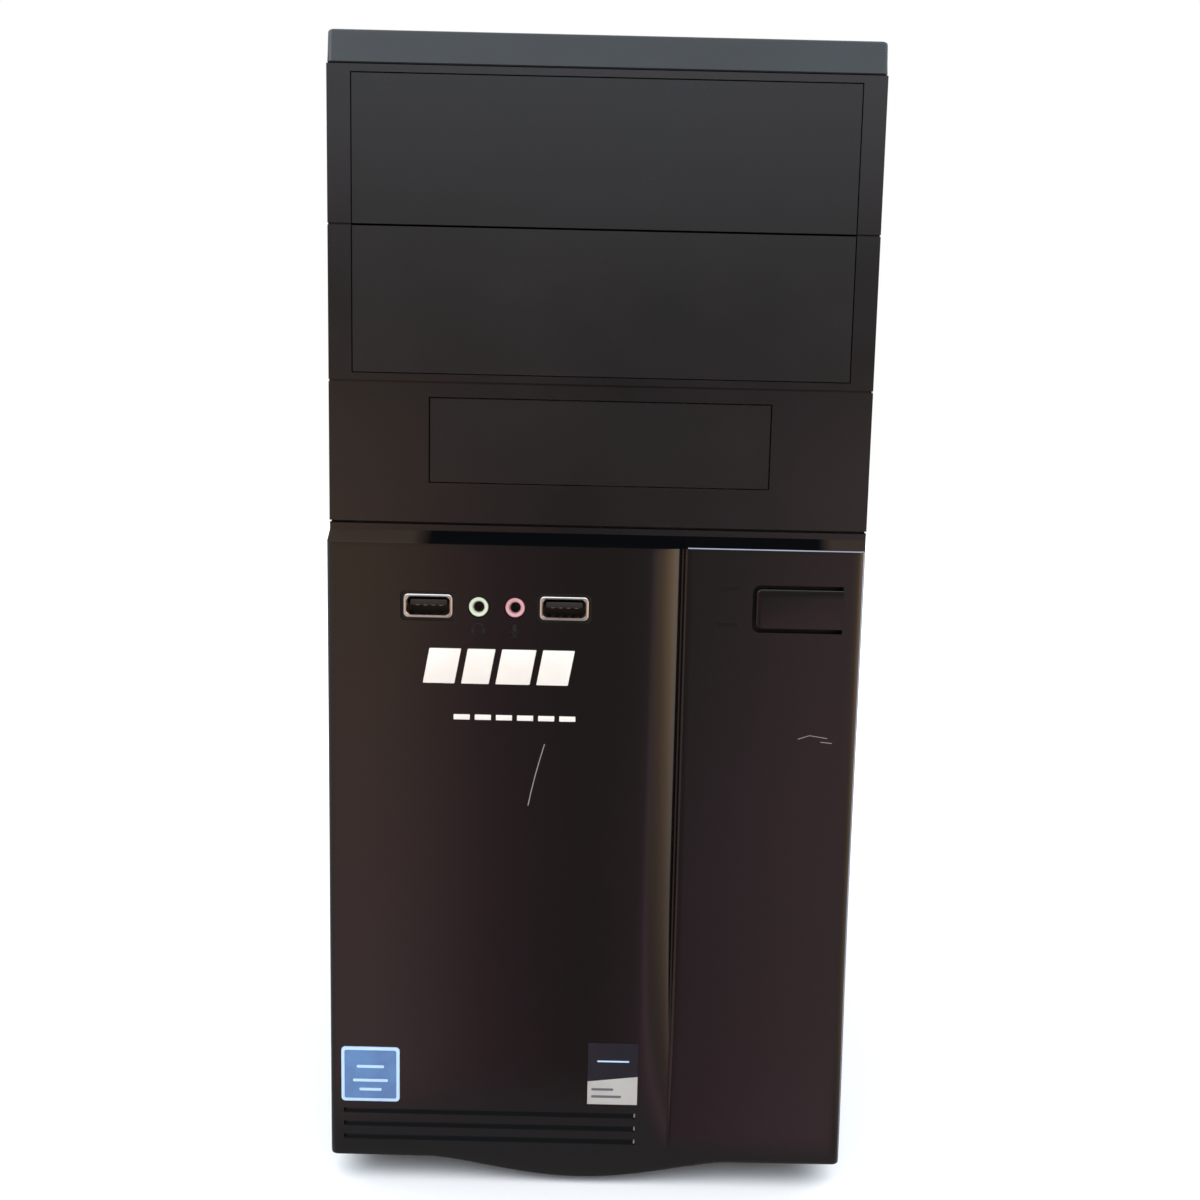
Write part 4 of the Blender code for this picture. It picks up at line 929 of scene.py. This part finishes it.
def make_round_sockets():
    """Coloured rings of the keyboard and mouse ports and of the audio jacks."""
    high, cz = corners("ps2_ports")[1], middle_of("ps2_ports").z
    y = high.y
    ports = Shape()
    for x, colour in ((high.x - 8.5, ps2_purple), (high.x - 24.5, ps2_green)):
        ports.lathe(PS2_RING, (x, y, cz), "Y", colour)
        ports.cylinder((x, y - 8.5, cz), "Y", 4.25, 0.6, colour, 24)
        for i in range(6):
            a = 2 * math.pi * (i + 0.5) / 6
            spot = (x + 2.6 * math.cos(a), y - 7.95, cz + 2.6 * math.sin(a))
            ports.cylinder(spot, "Y", 0.45, 0.15, socket_black, 10)
        key = (x - 1.6, y - 8.2, cz - 0.8)
        ports.box(key, (x - 0.2, y - 3.0, cz + 0.8), socket_black, 0.15)
    ports.piece("ps2_rings", slot="dark_plastic")

    high, cz = corners("audio_jacks")[1], middle_of("audio_jacks").z
    jacks = Shape()
    for offset, colour in ((6.5, sky_blue), (17.5, mint), (28.5, pink)):
        at = (high.x - offset, high.y, cz)
        jacks.lathe(AUDIO_RING, at, "Y", colour)
        jacks.lathe([(1.78, -0.4), (1.5, -0.5), (1.5, -8.0)], at, "Y", nickel)
    jacks.piece("audio_rings", slot="dark_plastic")


def make_rear_fasteners():
    heads = Shape()
    for node, y in (("rear_fan_frame", REAR_WALL), ("psu_fan_frame", corners("psu_housing")[1].y)):
        low, high = corners(node)
        middle, reach = (low + high) / 2, (high.x - low.x) / 2 - 4.4
        for x in (middle.x - reach, middle.x + reach):
            for z in (middle.z - reach, middle.z + reach):
                screw(heads, (x, y, z), "Y", 3.2)
    for z in (275.0, 335.0):
        screw(heads, (72.0, REAR_WALL, z), "Y", 3.2)
        screw(heads, (-72.5, REAR_WALL, z), "Y", 3.2)
    for z in SLOT_ROWS:
        screw(heads, (-46.5, REAR_WALL, z), "Y", 3.0)
    heads.piece("rear_screws", slot="nickel")


def make_mains_rim():
    """The mains inlet's rim and its three pins."""
    low, high = corners("mains_inlet")
    cx, cz, y = (low.x + high.x) / 2, (low.z + high.z) / 2, high.y
    sockets = Shape()
    rim = rounded_outline(high.x - low.x + 4.0, high.z - low.z + 4.0, 2.5, (cx, cz))
    mouth = rounded_outline(24.6, 16.6, 2.0, (cx, cz))
    ends = ((rim, y - 1.9), (rim, y + 0.6), (mouth, y + 0.9), (mouth, y - 2.0))
    sockets.rings(ends, socket_black)
    for x, z in ((cx - 7.0, cz - 2.0), (cx, cz + 2.0), (cx + 7.0, cz - 2.0)):
        pin = (x - 1.05, y - 17.0, z - 2.05)
        sockets.box(pin, (x + 1.05, y - 4.9, z + 2.05), nickel, 0.4)
    sockets.piece("mains_inlet_rim", slot="dark_plastic")


KNURLS = 36
COLLAR = REAR_WALL + 1.8


def make_thumb_screws():
    """Knurled heads with a dished end and a cross recess, on threaded shanks."""
    for node in ("thumb_screw_upper", "thumb_screw_lower"):
        low, high = corners(node)
        x, y, z = (low.x + high.x) / 2, high.y, (low.z + high.z) / 2
        radius = (high.x - low.x) / 2
        shape = Shape()
        knurl = []
        for i in range(2 * KNURLS):
            a = math.pi * i / KNURLS
            reach = radius - (0.32 if i % 2 else 0.0)
            knurl.append((x + reach * math.cos(a), z + reach * math.sin(a)))
        shape.prism(knurl, COLLAR + 1.4, y - 0.5, nickel, 0.35)
        foot = [(1.8, 0.0), (3.9, 0.0), (4.1, 0.2), (4.1, 1.3), (3.6, 1.6)]
        shape.lathe(foot, (x, COLLAR - 0.2, z), "Y", nickel)
        dish = [(4.3, -0.6), (4.2, -0.2), (3.9, 0.0), (2.9, 0.0), (2.6, -0.25), (2.5, -0.45), (0.0, -0.45)]
        shape.lathe(dish, (x, y, z), "Y", nickel)
        for wide, tall in ((3.4, 0.7), (0.7, 3.4)):
            start = (x - wide / 2, y - 0.46, z - tall / 2)
            shape.box(start, (x + wide / 2, y - 0.38, z + tall / 2), socket_black)
        thread = [(0.0, 0.0), (1.3, 0.0)]
        for i in range(10):
            thread += [(1.72, 0.35 + 0.7 * i), (1.42, 0.7 + 0.7 * i)]
        thread.append((1.42, COLLAR - low.y))
        shape.lathe(thread, (x, low.y, z), "Y", nickel, 24)
        shape.piece(node + "_knurled", "left_cover", [node], "nickel", 30.0)


def make_rotor_labels():
    """The round paper label on the hub's face of each rotor, plain, with two rings on it."""
    for node, body, axis, radius in (
        ("rear_fan_rotor", "rear_rotor", "Y", 12.5),
        ("psu_fan_rotor", "psu_rotor", "Y", 12.5),
        ("cpu_fan_rotor", "cpu_rotor", "X", 14.5),
    ):
        low, at = corners(node)[0], middle_of(node)
        if axis == "Y":
            at.y = low.y - 0.12
        else:
            at.x = low.x - 0.12
        label = Shape()
        paper = [(0.0, 0.0), (radius * 0.86, 0.0), (radius * 0.9, 0.03), (radius, 0.06), (radius, 0.3)]
        label.lathe(paper, at, axis, label_white)
        for inner, outer in ((0.5, 0.58), (0.74, 0.76)):
            label.lathe([(radius * inner, -0.03), (radius * outer, -0.03)], at, axis, label_grey)
        label.piece(node + "_label", body)


# ---------------------------------------------------------------- what is on the board and drives
# Chips: middle along Y and Z, size along Y and Z
CHIPS = (
    (130.0, 140.0, 12.0, 12.0), (140.0, 116.0, 7.0, 7.0), (-10.0, 128.0, 9.0, 9.0),
    (100.0, 122.0, 8.0, 8.0), (60.0, 60.0, 10.0, 10.0), (140.0, 62.0, 9.0, 9.0),
    (20.0, 24.0, 8.0, 5.0), (60.0, 134.0, 6.0, 6.0),
)
PIN_PITCH = 2.54


def make_board_components():
    """Capacitors, chokes, chips, slots and headers on the motherboard, facing -X."""
    face = BOARD_FACE
    parts = Shape()

    def slab(height, y, z, depth, half_y, half_z, material, bevel=0.0):
        low = (face - height, y - half_y, z - half_z)
        parts.box(low, (face + depth, y + half_y, z + half_z), material, bevel)

    def can(y, z, radius, height):
        parts.cylinder((face - height, y, z), "X", radius, height, can_steel, 20, bevel=0.35)
        parts.cylinder((face - height - 0.03, y, z), "X", radius * 0.78, 0.1, zinc, 20)
        parts.cylinder((face - 0.6, y, z), "X", radius + 0.5, 0.6, socket_black, 20)

    for i in range(6):
        can(135.0, 165.0 + 11.5 * i, 4.0, 11.0)
    for i in range(4):
        can(60.0 + 10.5 * i, 156.0, 3.2, 8.0)
    for i in range(3):
        can(-12.0 + 12.0 * i, 98.0, 3.2, 8.0)
    for y, z in ((146.0, 100.0), (146.0, 30.0), (-28.0, 60.0), (96.0, 100.0)):
        can(y, z, 2.6, 6.0)
    for i in range(5):
        slab(5.5, 148.0, 168.0 + 12.0 * i, 0.1, 4.5, 4.5, ferrite, 0.8)
    for y, z, wide, tall in CHIPS:
        slab(1.2, y, z, 0.1, wide / 2, tall / 2, chip_black, 0.2)
    # The empty memory slot beside the module, with its two latches
    slab(8.0, 16.5, 180.5, 0.1, 3.2, 68.5, slot_blue, 0.4)
    slab(8.06, 16.5, 180.5, -7.9, 0.8, 64.5, socket_black)
    for z in (111.0, 249.5):
        slab(15.0, 16.5, z, -4.0, 2.4, 2.0, label_white, 0.5)
    for z in SLOT_ROWS[1:3]:
        slab(8.5, 109.0, z, 0.1, 13.0, 3.5, label_white, 0.4)
        slab(8.56, 109.0, z, -8.4, 11.5, 0.8, socket_black)
    parts.cylinder((face - 3.6, 66.0, 33.0), "X", 10.0, 3.4, nickel, 32, bevel=0.5)
    parts.cylinder((face - 1.6, 66.0, 33.0), "X", 11.6, 1.6, socket_black, 32, bevel=0.3)
    for i in range(4):
        slab(8.5, -30.0, 26.0 + 9.5 * i, 0.1, 7.0, 3.25, slot_blue if i % 2 else socket_black, 0.4)
    for y in (4.0, 38.0, 72.0):
        slab(2.4, y, 17.5, 0.1, 12.0, 2.5, socket_black, 0.2)
        for i in range(9):
            for z in (17.5 - PIN_PITCH / 2, 17.5 + PIN_PITCH / 2):
                slab(8.2, y - 10.2 + PIN_PITCH * i, z, -2.3, 0.3, 0.3, gold)
    parts.piece("board_components", slot="circuit_board")


def make_small_parts():
    """Rows of small resistors and capacitors, each with two bright ends."""
    small = Shape()
    count = 0
    for row in range(26):
        for column in range(22):
            y, z = -30.0 + 9.1 * column, 22.0 + 9.0 * row
            pick = math.sin(row * 12.9898 + column * 78.233) * 43758.5453
            pick -= math.floor(pick)
            in_corner = y > 150.0 and z > 96.0
            under_cooler = abs(y - 85) < 46 and abs(z - 205) < 46
            under_chipset = abs(y) < 19 and abs(z - 66) < 19
            if pick > 0.34 or in_corner or under_cooler or under_chipset:
                continue
            along_y = count % 2 == 1
            dy, dz = (1.0, 0.55) if along_y else (0.55, 1.0)
            end_y, end_z = (0.3, 0.55) if along_y else (0.55, 0.3)
            y, z = y + 5.0 * pick, z + 7.0 * pick
            colour = tan_ceramic if count % 3 else chip_black
            low = (BOARD_FACE - 0.9, y - dy, z - dz)
            small.box(low, (BOARD_FACE + 0.05, y + dy, z + dz), colour)
            for side in (-1, 1):
                ey, ez = (y + side * dy, z) if along_y else (y, z + side * dz)
                low = (BOARD_FACE - 0.95, ey - end_y, ez - end_z)
                small.box(low, (BOARD_FACE + 0.05, ey + end_y, ez + end_z), zinc)
            count += 1
    small.piece("board_small_parts", slot="circuit_board")


def make_memory_details():
    """The memory module's chips, its gold contacts and the slot it stands in."""
    low, high = corners("memory_module")
    memory = Shape()
    for i in range(8):
        z = low.z + 10.0 + 15.6 * i
        start = (low.x + 8.0, low.y - 0.9, z - 4.6)
        memory.box(start, (low.x + 19.5, low.y + 0.05, z + 4.6), chip_black, 0.15)
    contacts = (high.x - 2.8, low.y - 0.06, low.z + 3.0)
    memory.box(contacts, (high.x - 0.6, low.y, high.z - 3.0), gold)
    for y0, y1 in ((low.y - 2.0, low.y - 0.4), (high.y + 0.4, high.y + 2.0)):
        start = (high.x - 8.0, y0, low.z - 2.0)
        memory.box(start, (high.x - 0.1, y1, high.z + 1.4), socket_black, 0.3)
    memory.piece("memory_chips_and_slot", slot="circuit_board")


def make_drive_details():
    """The hard drive's label, screws and plugs."""
    low, high = corners("hard_drive")
    drive = Shape()
    start = (low.x + 6.0, low.y + 12.0, high.z - 0.02)
    drive.box(start, (high.x - 6.0, high.y - 20.0, high.z + 0.14), label_white)
    for i, width in enumerate((46.0, 60.0, 38.0, 52.0)):
        x, y = low.x + 12.0, low.y + 24.0 + 12.0 * i
        drive.box((x, y, high.z + 0.1), (x + width, y + 1.6, high.z + 0.17), label_grey)
    for x in (low.x + 4.0, high.x - 4.0):
        for y in (low.y + 5.0, (low.y + high.y) / 2, high.y - 5.0):
            screw(drive, (x, y, high.z - 0.6), "Z", 2.4)
    for x0, x1, reach, z0, z1 in ((10.0, 24.0, 2.5, 3.0, 8.5), (26.5, 34.0, 1.2, 1.0, 2.8)):
        start = (x0, high.y - 0.05, low.z + z0)
        drive.box(start, (x1, high.y + reach, low.z + z1), socket_black, 0.3)
    drive.piece("drive_label_and_plugs", slot="aluminium")


def make_supply_label():
    """The power supply's label, with a table in plain lines, and the housing's screws."""
    low, high = corners("psu_housing")
    label = Shape()
    x, start_y, start_z = low.x, low.y + 20.0, low.z + 20.0
    paper = (x - 0.14, low.y + 14.0, low.z + 14.0)
    label.box(paper, (x + 0.02, high.y - 30.0, high.z - 16.0), label_white)
    title = (x - 0.17, low.y + 18.0, high.z - 28.0)
    label.box(title, (x - 0.1, high.y - 34.0, high.z - 20.0), label_navy)
    for row in range(5):
        z = start_z + 7.0 * row
        label.box((x - 0.17, start_y, z), (x - 0.1, high.y - 36.0, z + 0.45), label_grey)
    for column in range(4):
        y = start_y + 20.5 * column
        label.box((x - 0.17, y, start_z), (x - 0.1, y + 0.45, low.z + 48.0), label_grey)
    for y in (low.y + 5.0, high.y - 5.0):
        for z in (low.z + 5.0, high.z - 5.0):
            screw(label, (x + 0.05, y, z), "X", 2.4, flip=True)
    label.piece("power_supply_label", slot="zinc_steel")


def make_cable_details():
    """The main power plug with its wire seats, and the data cable's plug."""
    bits = Shape()
    bits.box((43.6, -34.5, 121.0), (50.6, -25.5, 171.0), label_white, 0.6)
    for i in range(12):
        z = 124.0 + 4.0 * i
        for y in (-32.2, -27.8):
            bits.box((43.5, y - 1.4, z - 1.4), (43.8, y + 1.4, z + 1.4), socket_black, 0.1)
    bits.box((49.0, -30.4, 94.0), (54.6, -21.6, 106.0), cable_red, 0.5)
    bits.piece("plug_bodies", slot="dark_plastic")


# ---------------------------------------------------------------- CAD nodes carried over
CARRIED = {
    matte_black: (0.45, "bay_cover_upper bay_cover_lower bay_cover_small"),
    frame_black: (0.7, "bezel_frame"),
    painted_steel: (0.3, "left_side_cover right_side_cover top_plate"),
    zinc: (
        0.12,
        "rear_wall front_wall base_pan motherboard_tray optical_bay_cage hard_drive_cage psu_housing "
        + " ".join(SLOT_COVERS),
    ),
    nickel: (0.2, "hdmi_port vga_port usb_stack lan_usb_stack io_shield"),
    aluminium: (0.25, "hard_drive cpu_heatsink chipset_heatsink"),
    socket_black: (
        0.3,
        "mains_inlet ps2_ports audio_jacks graphics_slot rear_fan_frame rear_fan_rotor "
        "psu_fan_frame psu_fan_rotor cpu_fan_frame cpu_fan_rotor",
    ),
    rubber: (0.6, "foot_front_left foot_front_right foot_rear_left foot_rear_right"),
    cable_black: (0.0, "main_power_cable"),
    cable_red: (0.0, "drive_data_cable"),
}
RESIST_GREEN = (0.012, 0.075, 0.040)


def board_material():
    """Solder resist with faint tracks under it and pale dots for vias."""
    material = finish_material("circuit_board", RESIST_GREEN, 0.38, grain=(0.6, 0.01), smudge=0.06)
    nodes = Nodes(material.node_tree)
    shader = material.node_tree.nodes["Principled BSDF"]
    where = nodes.add("ShaderNodeTexCoord").outputs["Object"]
    tracks = nodes.add("ShaderNodeTexVoronoi", {"Scale": 260.0}, distance="MANHATTAN")
    tracks.feature = "DISTANCE_TO_EDGE"
    nodes.link(where, tracks.inputs["Vector"])
    lines = nodes.remap(tracks.outputs["Distance"], 0.02, 0.06, 1.0, 0.0)
    vias = nodes.add("ShaderNodeTexVoronoi", {"Scale": 240.0}, feature="F1")
    nodes.link(where, vias.inputs["Vector"])
    dots = nodes.remap(vias.outputs["Distance"], 0.12, 0.16, 1.0, 0.0)
    tracked = nodes.mix(lines, RESIST_GREEN, (0.020, 0.115, 0.062))
    nodes.link(nodes.mix(dots, tracked, (0.30, 0.32, 0.26)), shader.inputs["Base Color"])
    return material


def dress_frame():
    """Gives every CAD node that stays in view its material, round edges and smooth shading."""
    jobs = dict(CARRIED)
    jobs[board_material()] = (0.1, "front_io_board motherboard memory_module")
    for material, (width, names) in jobs.items():
        for name in names.split():
            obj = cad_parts[name]
            obj.data.materials.clear()
            obj.data.materials.append(material)
            if width:
                edge = obj.modifiers.new("round edges", "BEVEL")
                edge.width = width * MM
                edge.segments = 2
                edge.limit_method = "ANGLE"
                edge.angle_limit = math.radians(40)
                edge.harden_normals = False
            smooth(obj, 35)


# ---------------------------------------------------------------- camera and light
def make_camera():
    data = bpy.data.cameras.new("camera")
    camera = bpy.data.objects.new("camera", data)
    bpy.context.scene.collection.objects.link(camera)
    data.sensor_width = 36.0
    data.lens = 36.0
    data.shift_x = -0.0125
    data.shift_y = 0.035
    data.clip_start, data.clip_end = 0.01, 50.0
    yaw, pitch, roll = math.radians(0.1), math.radians(-7.27), math.radians(1.3)
    forward = Vector((math.sin(yaw) * math.cos(pitch), math.cos(yaw) * math.cos(pitch), math.sin(pitch)))
    right = Vector((math.cos(yaw), -math.sin(yaw), 0.0))
    up = right.cross(forward)
    turned_right = math.cos(roll) * right + math.sin(roll) * up
    turned_up = -math.sin(roll) * right + math.cos(roll) * up
    camera.matrix_world = Matrix.Translation(Vector((5.3, -543.8, 221.4)) * MM) @ Matrix(
        (
            (turned_right.x, turned_up.x, -forward.x),
            (turned_right.y, turned_up.y, -forward.y),
            (turned_right.z, turned_up.z, -forward.z),
        )
    ).to_4x4()
    bpy.context.scene.camera = camera


WORLD_STRENGTH = 2.5
# What glossy plastic mirrors around the horizon, by degrees to the right of straight ahead:
# first at eye level, then well below it
HORIZON = (
    (-180, (0.55, 0.55, 0.56), (0.35, 0.35, 0.36)),
    (-80, (0.60, 0.58, 0.56), (0.36, 0.35, 0.34)),
    (-25, (0.85, 0.58, 0.44), (0.80, 0.52, 0.52)),
    (-12, (0.86, 0.58, 0.40), (0.92, 0.58, 0.62)),
    (-6, (0.36, 0.22, 0.22), (0.38, 0.22, 0.25)),
    (-1, (0.19, 0.16, 0.13), (0.20, 0.15, 0.14)),
    (6, (0.36, 0.30, 0.29), (0.60, 0.36, 0.43)),
    (11, (0.62, 0.42, 0.42), (0.78, 0.50, 0.56)),
    (20, (0.85, 0.65, 0.50), (0.42, 0.32, 0.32)),
    (35, (1.35, 0.88, 0.52), (0.34, 0.27, 0.26)),
    (55, (2.10, 1.44, 0.90), (0.32, 0.26, 0.25)),
    (75, (2.70, 1.92, 1.26), (0.34, 0.28, 0.26)),
    (92, (1.90, 1.75, 1.60), (0.50, 0.48, 0.46)),
    (112, (2.20, 2.20, 2.35), (0.80, 0.80, 0.85)),
    (130, (0.80, 0.80, 0.82), (0.45, 0.45, 0.46)),
    (180, (0.55, 0.55, 0.56), (0.35, 0.35, 0.36)),
)
# What it mirrors far below the horizon
FLOOR_TONE = (0.35, 0.34, 0.34)
# What it mirrors above the horizon, by height on the unit sphere
SKY = (
    (0.00, (0.14, 0.14, 0.14)),
    (0.16, (0.16, 0.16, 0.16)),
    (0.26, (1.02, 0.98, 1.00)),
    (0.42, (1.30, 1.40, 1.55)),
    (0.56, (2.00, 2.45, 2.90)),
    (0.72, (1.70, 1.85, 2.00)),
    (1.00, (1.60, 1.60, 1.60)),
)


def colour_ramp(nodes, value, stops):
    """A ramp of (position, colour) stops, with colours divided by the world's strength."""
    ramp = nodes.add("ShaderNodeValToRGB")
    nodes.link(value, ramp.inputs["Fac"])
    elements = ramp.color_ramp.elements
    while len(elements) < len(stops):
        elements.new(0.5)
    for element, (position, colour) in zip(elements, stops):
        element.position = position
        element.color = (*(c / WORLD_STRENGTH for c in colour), 1.0)
    return ramp.outputs["Color"]


def make_world():
    """A plain white backdrop, in a room that is bright above and has soft panels around it."""
    world = bpy.data.worlds.new("studio")
    bpy.context.scene.world = world
    world.use_nodes = True
    nodes = Nodes(world.node_tree)
    world.node_tree.nodes.clear()
    out = nodes.add("ShaderNodeOutputWorld")
    parts = nodes.add("ShaderNodeSeparateXYZ")
    nodes.link(nodes.add("ShaderNodeTexCoord").outputs["Generated"], parts.inputs[0])
    ahead = nodes.add("ShaderNodeMath", operation="MULTIPLY")
    nodes.link(parts.outputs["Y"], ahead.inputs[0])
    ahead.inputs[1].default_value = -1.0
    angle = nodes.add("ShaderNodeMath", operation="ARCTAN2")
    nodes.link(parts.outputs["X"], angle.inputs[0])
    nodes.link(ahead.outputs[0], angle.inputs[1])
    turn = nodes.remap(angle.outputs[0], -math.pi, math.pi, 0.0, 1.0)
    level = colour_ramp(nodes, turn, [((a + 180) / 360, c) for a, c, _ in HORIZON])
    below = colour_ramp(nodes, turn, [((a + 180) / 360, c) for a, _, c in HORIZON])
    low = nodes.mix(nodes.remap(parts.outputs["Z"], -0.48, -0.08, 0.0, 1.0), below, level)
    deep = tuple(c / WORLD_STRENGTH for c in FLOOR_TONE)
    low = nodes.mix(nodes.remap(parts.outputs["Z"], -0.485, -0.455, 0.0, 1.0), deep, low)
    high = colour_ramp(nodes, parts.outputs["Z"], SKY)
    room = nodes.mix(nodes.remap(parts.outputs["Z"], 0.05, 0.15, 0.0, 1.0), low, high)
    seen = nodes.add("ShaderNodeLightPath").outputs["Is Camera Ray"]
    soft = nodes.add("ShaderNodeBackground", {"Strength": WORLD_STRENGTH})
    nodes.link(room, soft.inputs["Color"])
    plain = nodes.add("ShaderNodeBackground", {"Color": (1.0, 1.0, 1.0, 1.0), "Strength": 1.0})
    pick = nodes.add("ShaderNodeMixShader")
    nodes.link(seen, pick.inputs[0])
    nodes.link(soft.outputs[0], pick.inputs[1])
    nodes.link(plain.outputs[0], pick.inputs[2])
    nodes.link(pick.outputs[0], out.inputs["Surface"])


def make_light(name, at, aim, size, power, colour):
    data = bpy.data.lights.new(name, "AREA")
    data.shape = "DISK"
    data.size = size
    data.energy = power
    data.color = colour
    light = bpy.data.objects.new(name, data)
    light.location = at
    light.rotation_euler = (Vector(aim) - Vector(at)).to_track_quat("-Z", "Y").to_euler()
    bpy.context.scene.collection.objects.link(light)


def make_stage():
    bm = bmesh.new()
    bmesh.ops.create_grid(bm, x_segments=1, y_segments=1, size=6000.0)
    mottle = (400.0, 0.3, (0.93, 0.90, 0.88))
    paper = flecked("pale_floor", (0.95, 0.92, 0.90), 0.9, (2.0, 0.05), mottle)
    floor = Shape().take(bm, paper).piece("floor", body=None)
    floor.visible_glossy = False
    make_light("key", (-1.3, -0.9, 1.3), (0, 0, 0.15), 0.9, 6.0, (1.0, 0.98, 0.95))
    make_light("back", (1.1, 1.4, 1.0), (0, 0.1, 0.2), 0.9, 8.0, (1.0, 1.0, 1.0))
    bpy.context.scene.view_settings.view_transform = "Standard"
    bpy.context.scene.view_settings.look = "None"


for make in (
    make_fascia, make_button, make_seam, make_painted_frame_highlight, make_cap, make_front_sockets, make_indicators,
    make_socket_symbols, make_wear_and_glints, make_badges, make_stickers, make_vga, make_socket_inserts,
    make_round_sockets, make_rear_fasteners, make_mains_rim, make_thumb_screws, make_rotor_labels,
    make_board_components, make_small_parts, make_memory_details, make_drive_details,
    make_supply_label, make_cable_details, dress_frame, make_camera, make_world, make_stage,
):
    make()
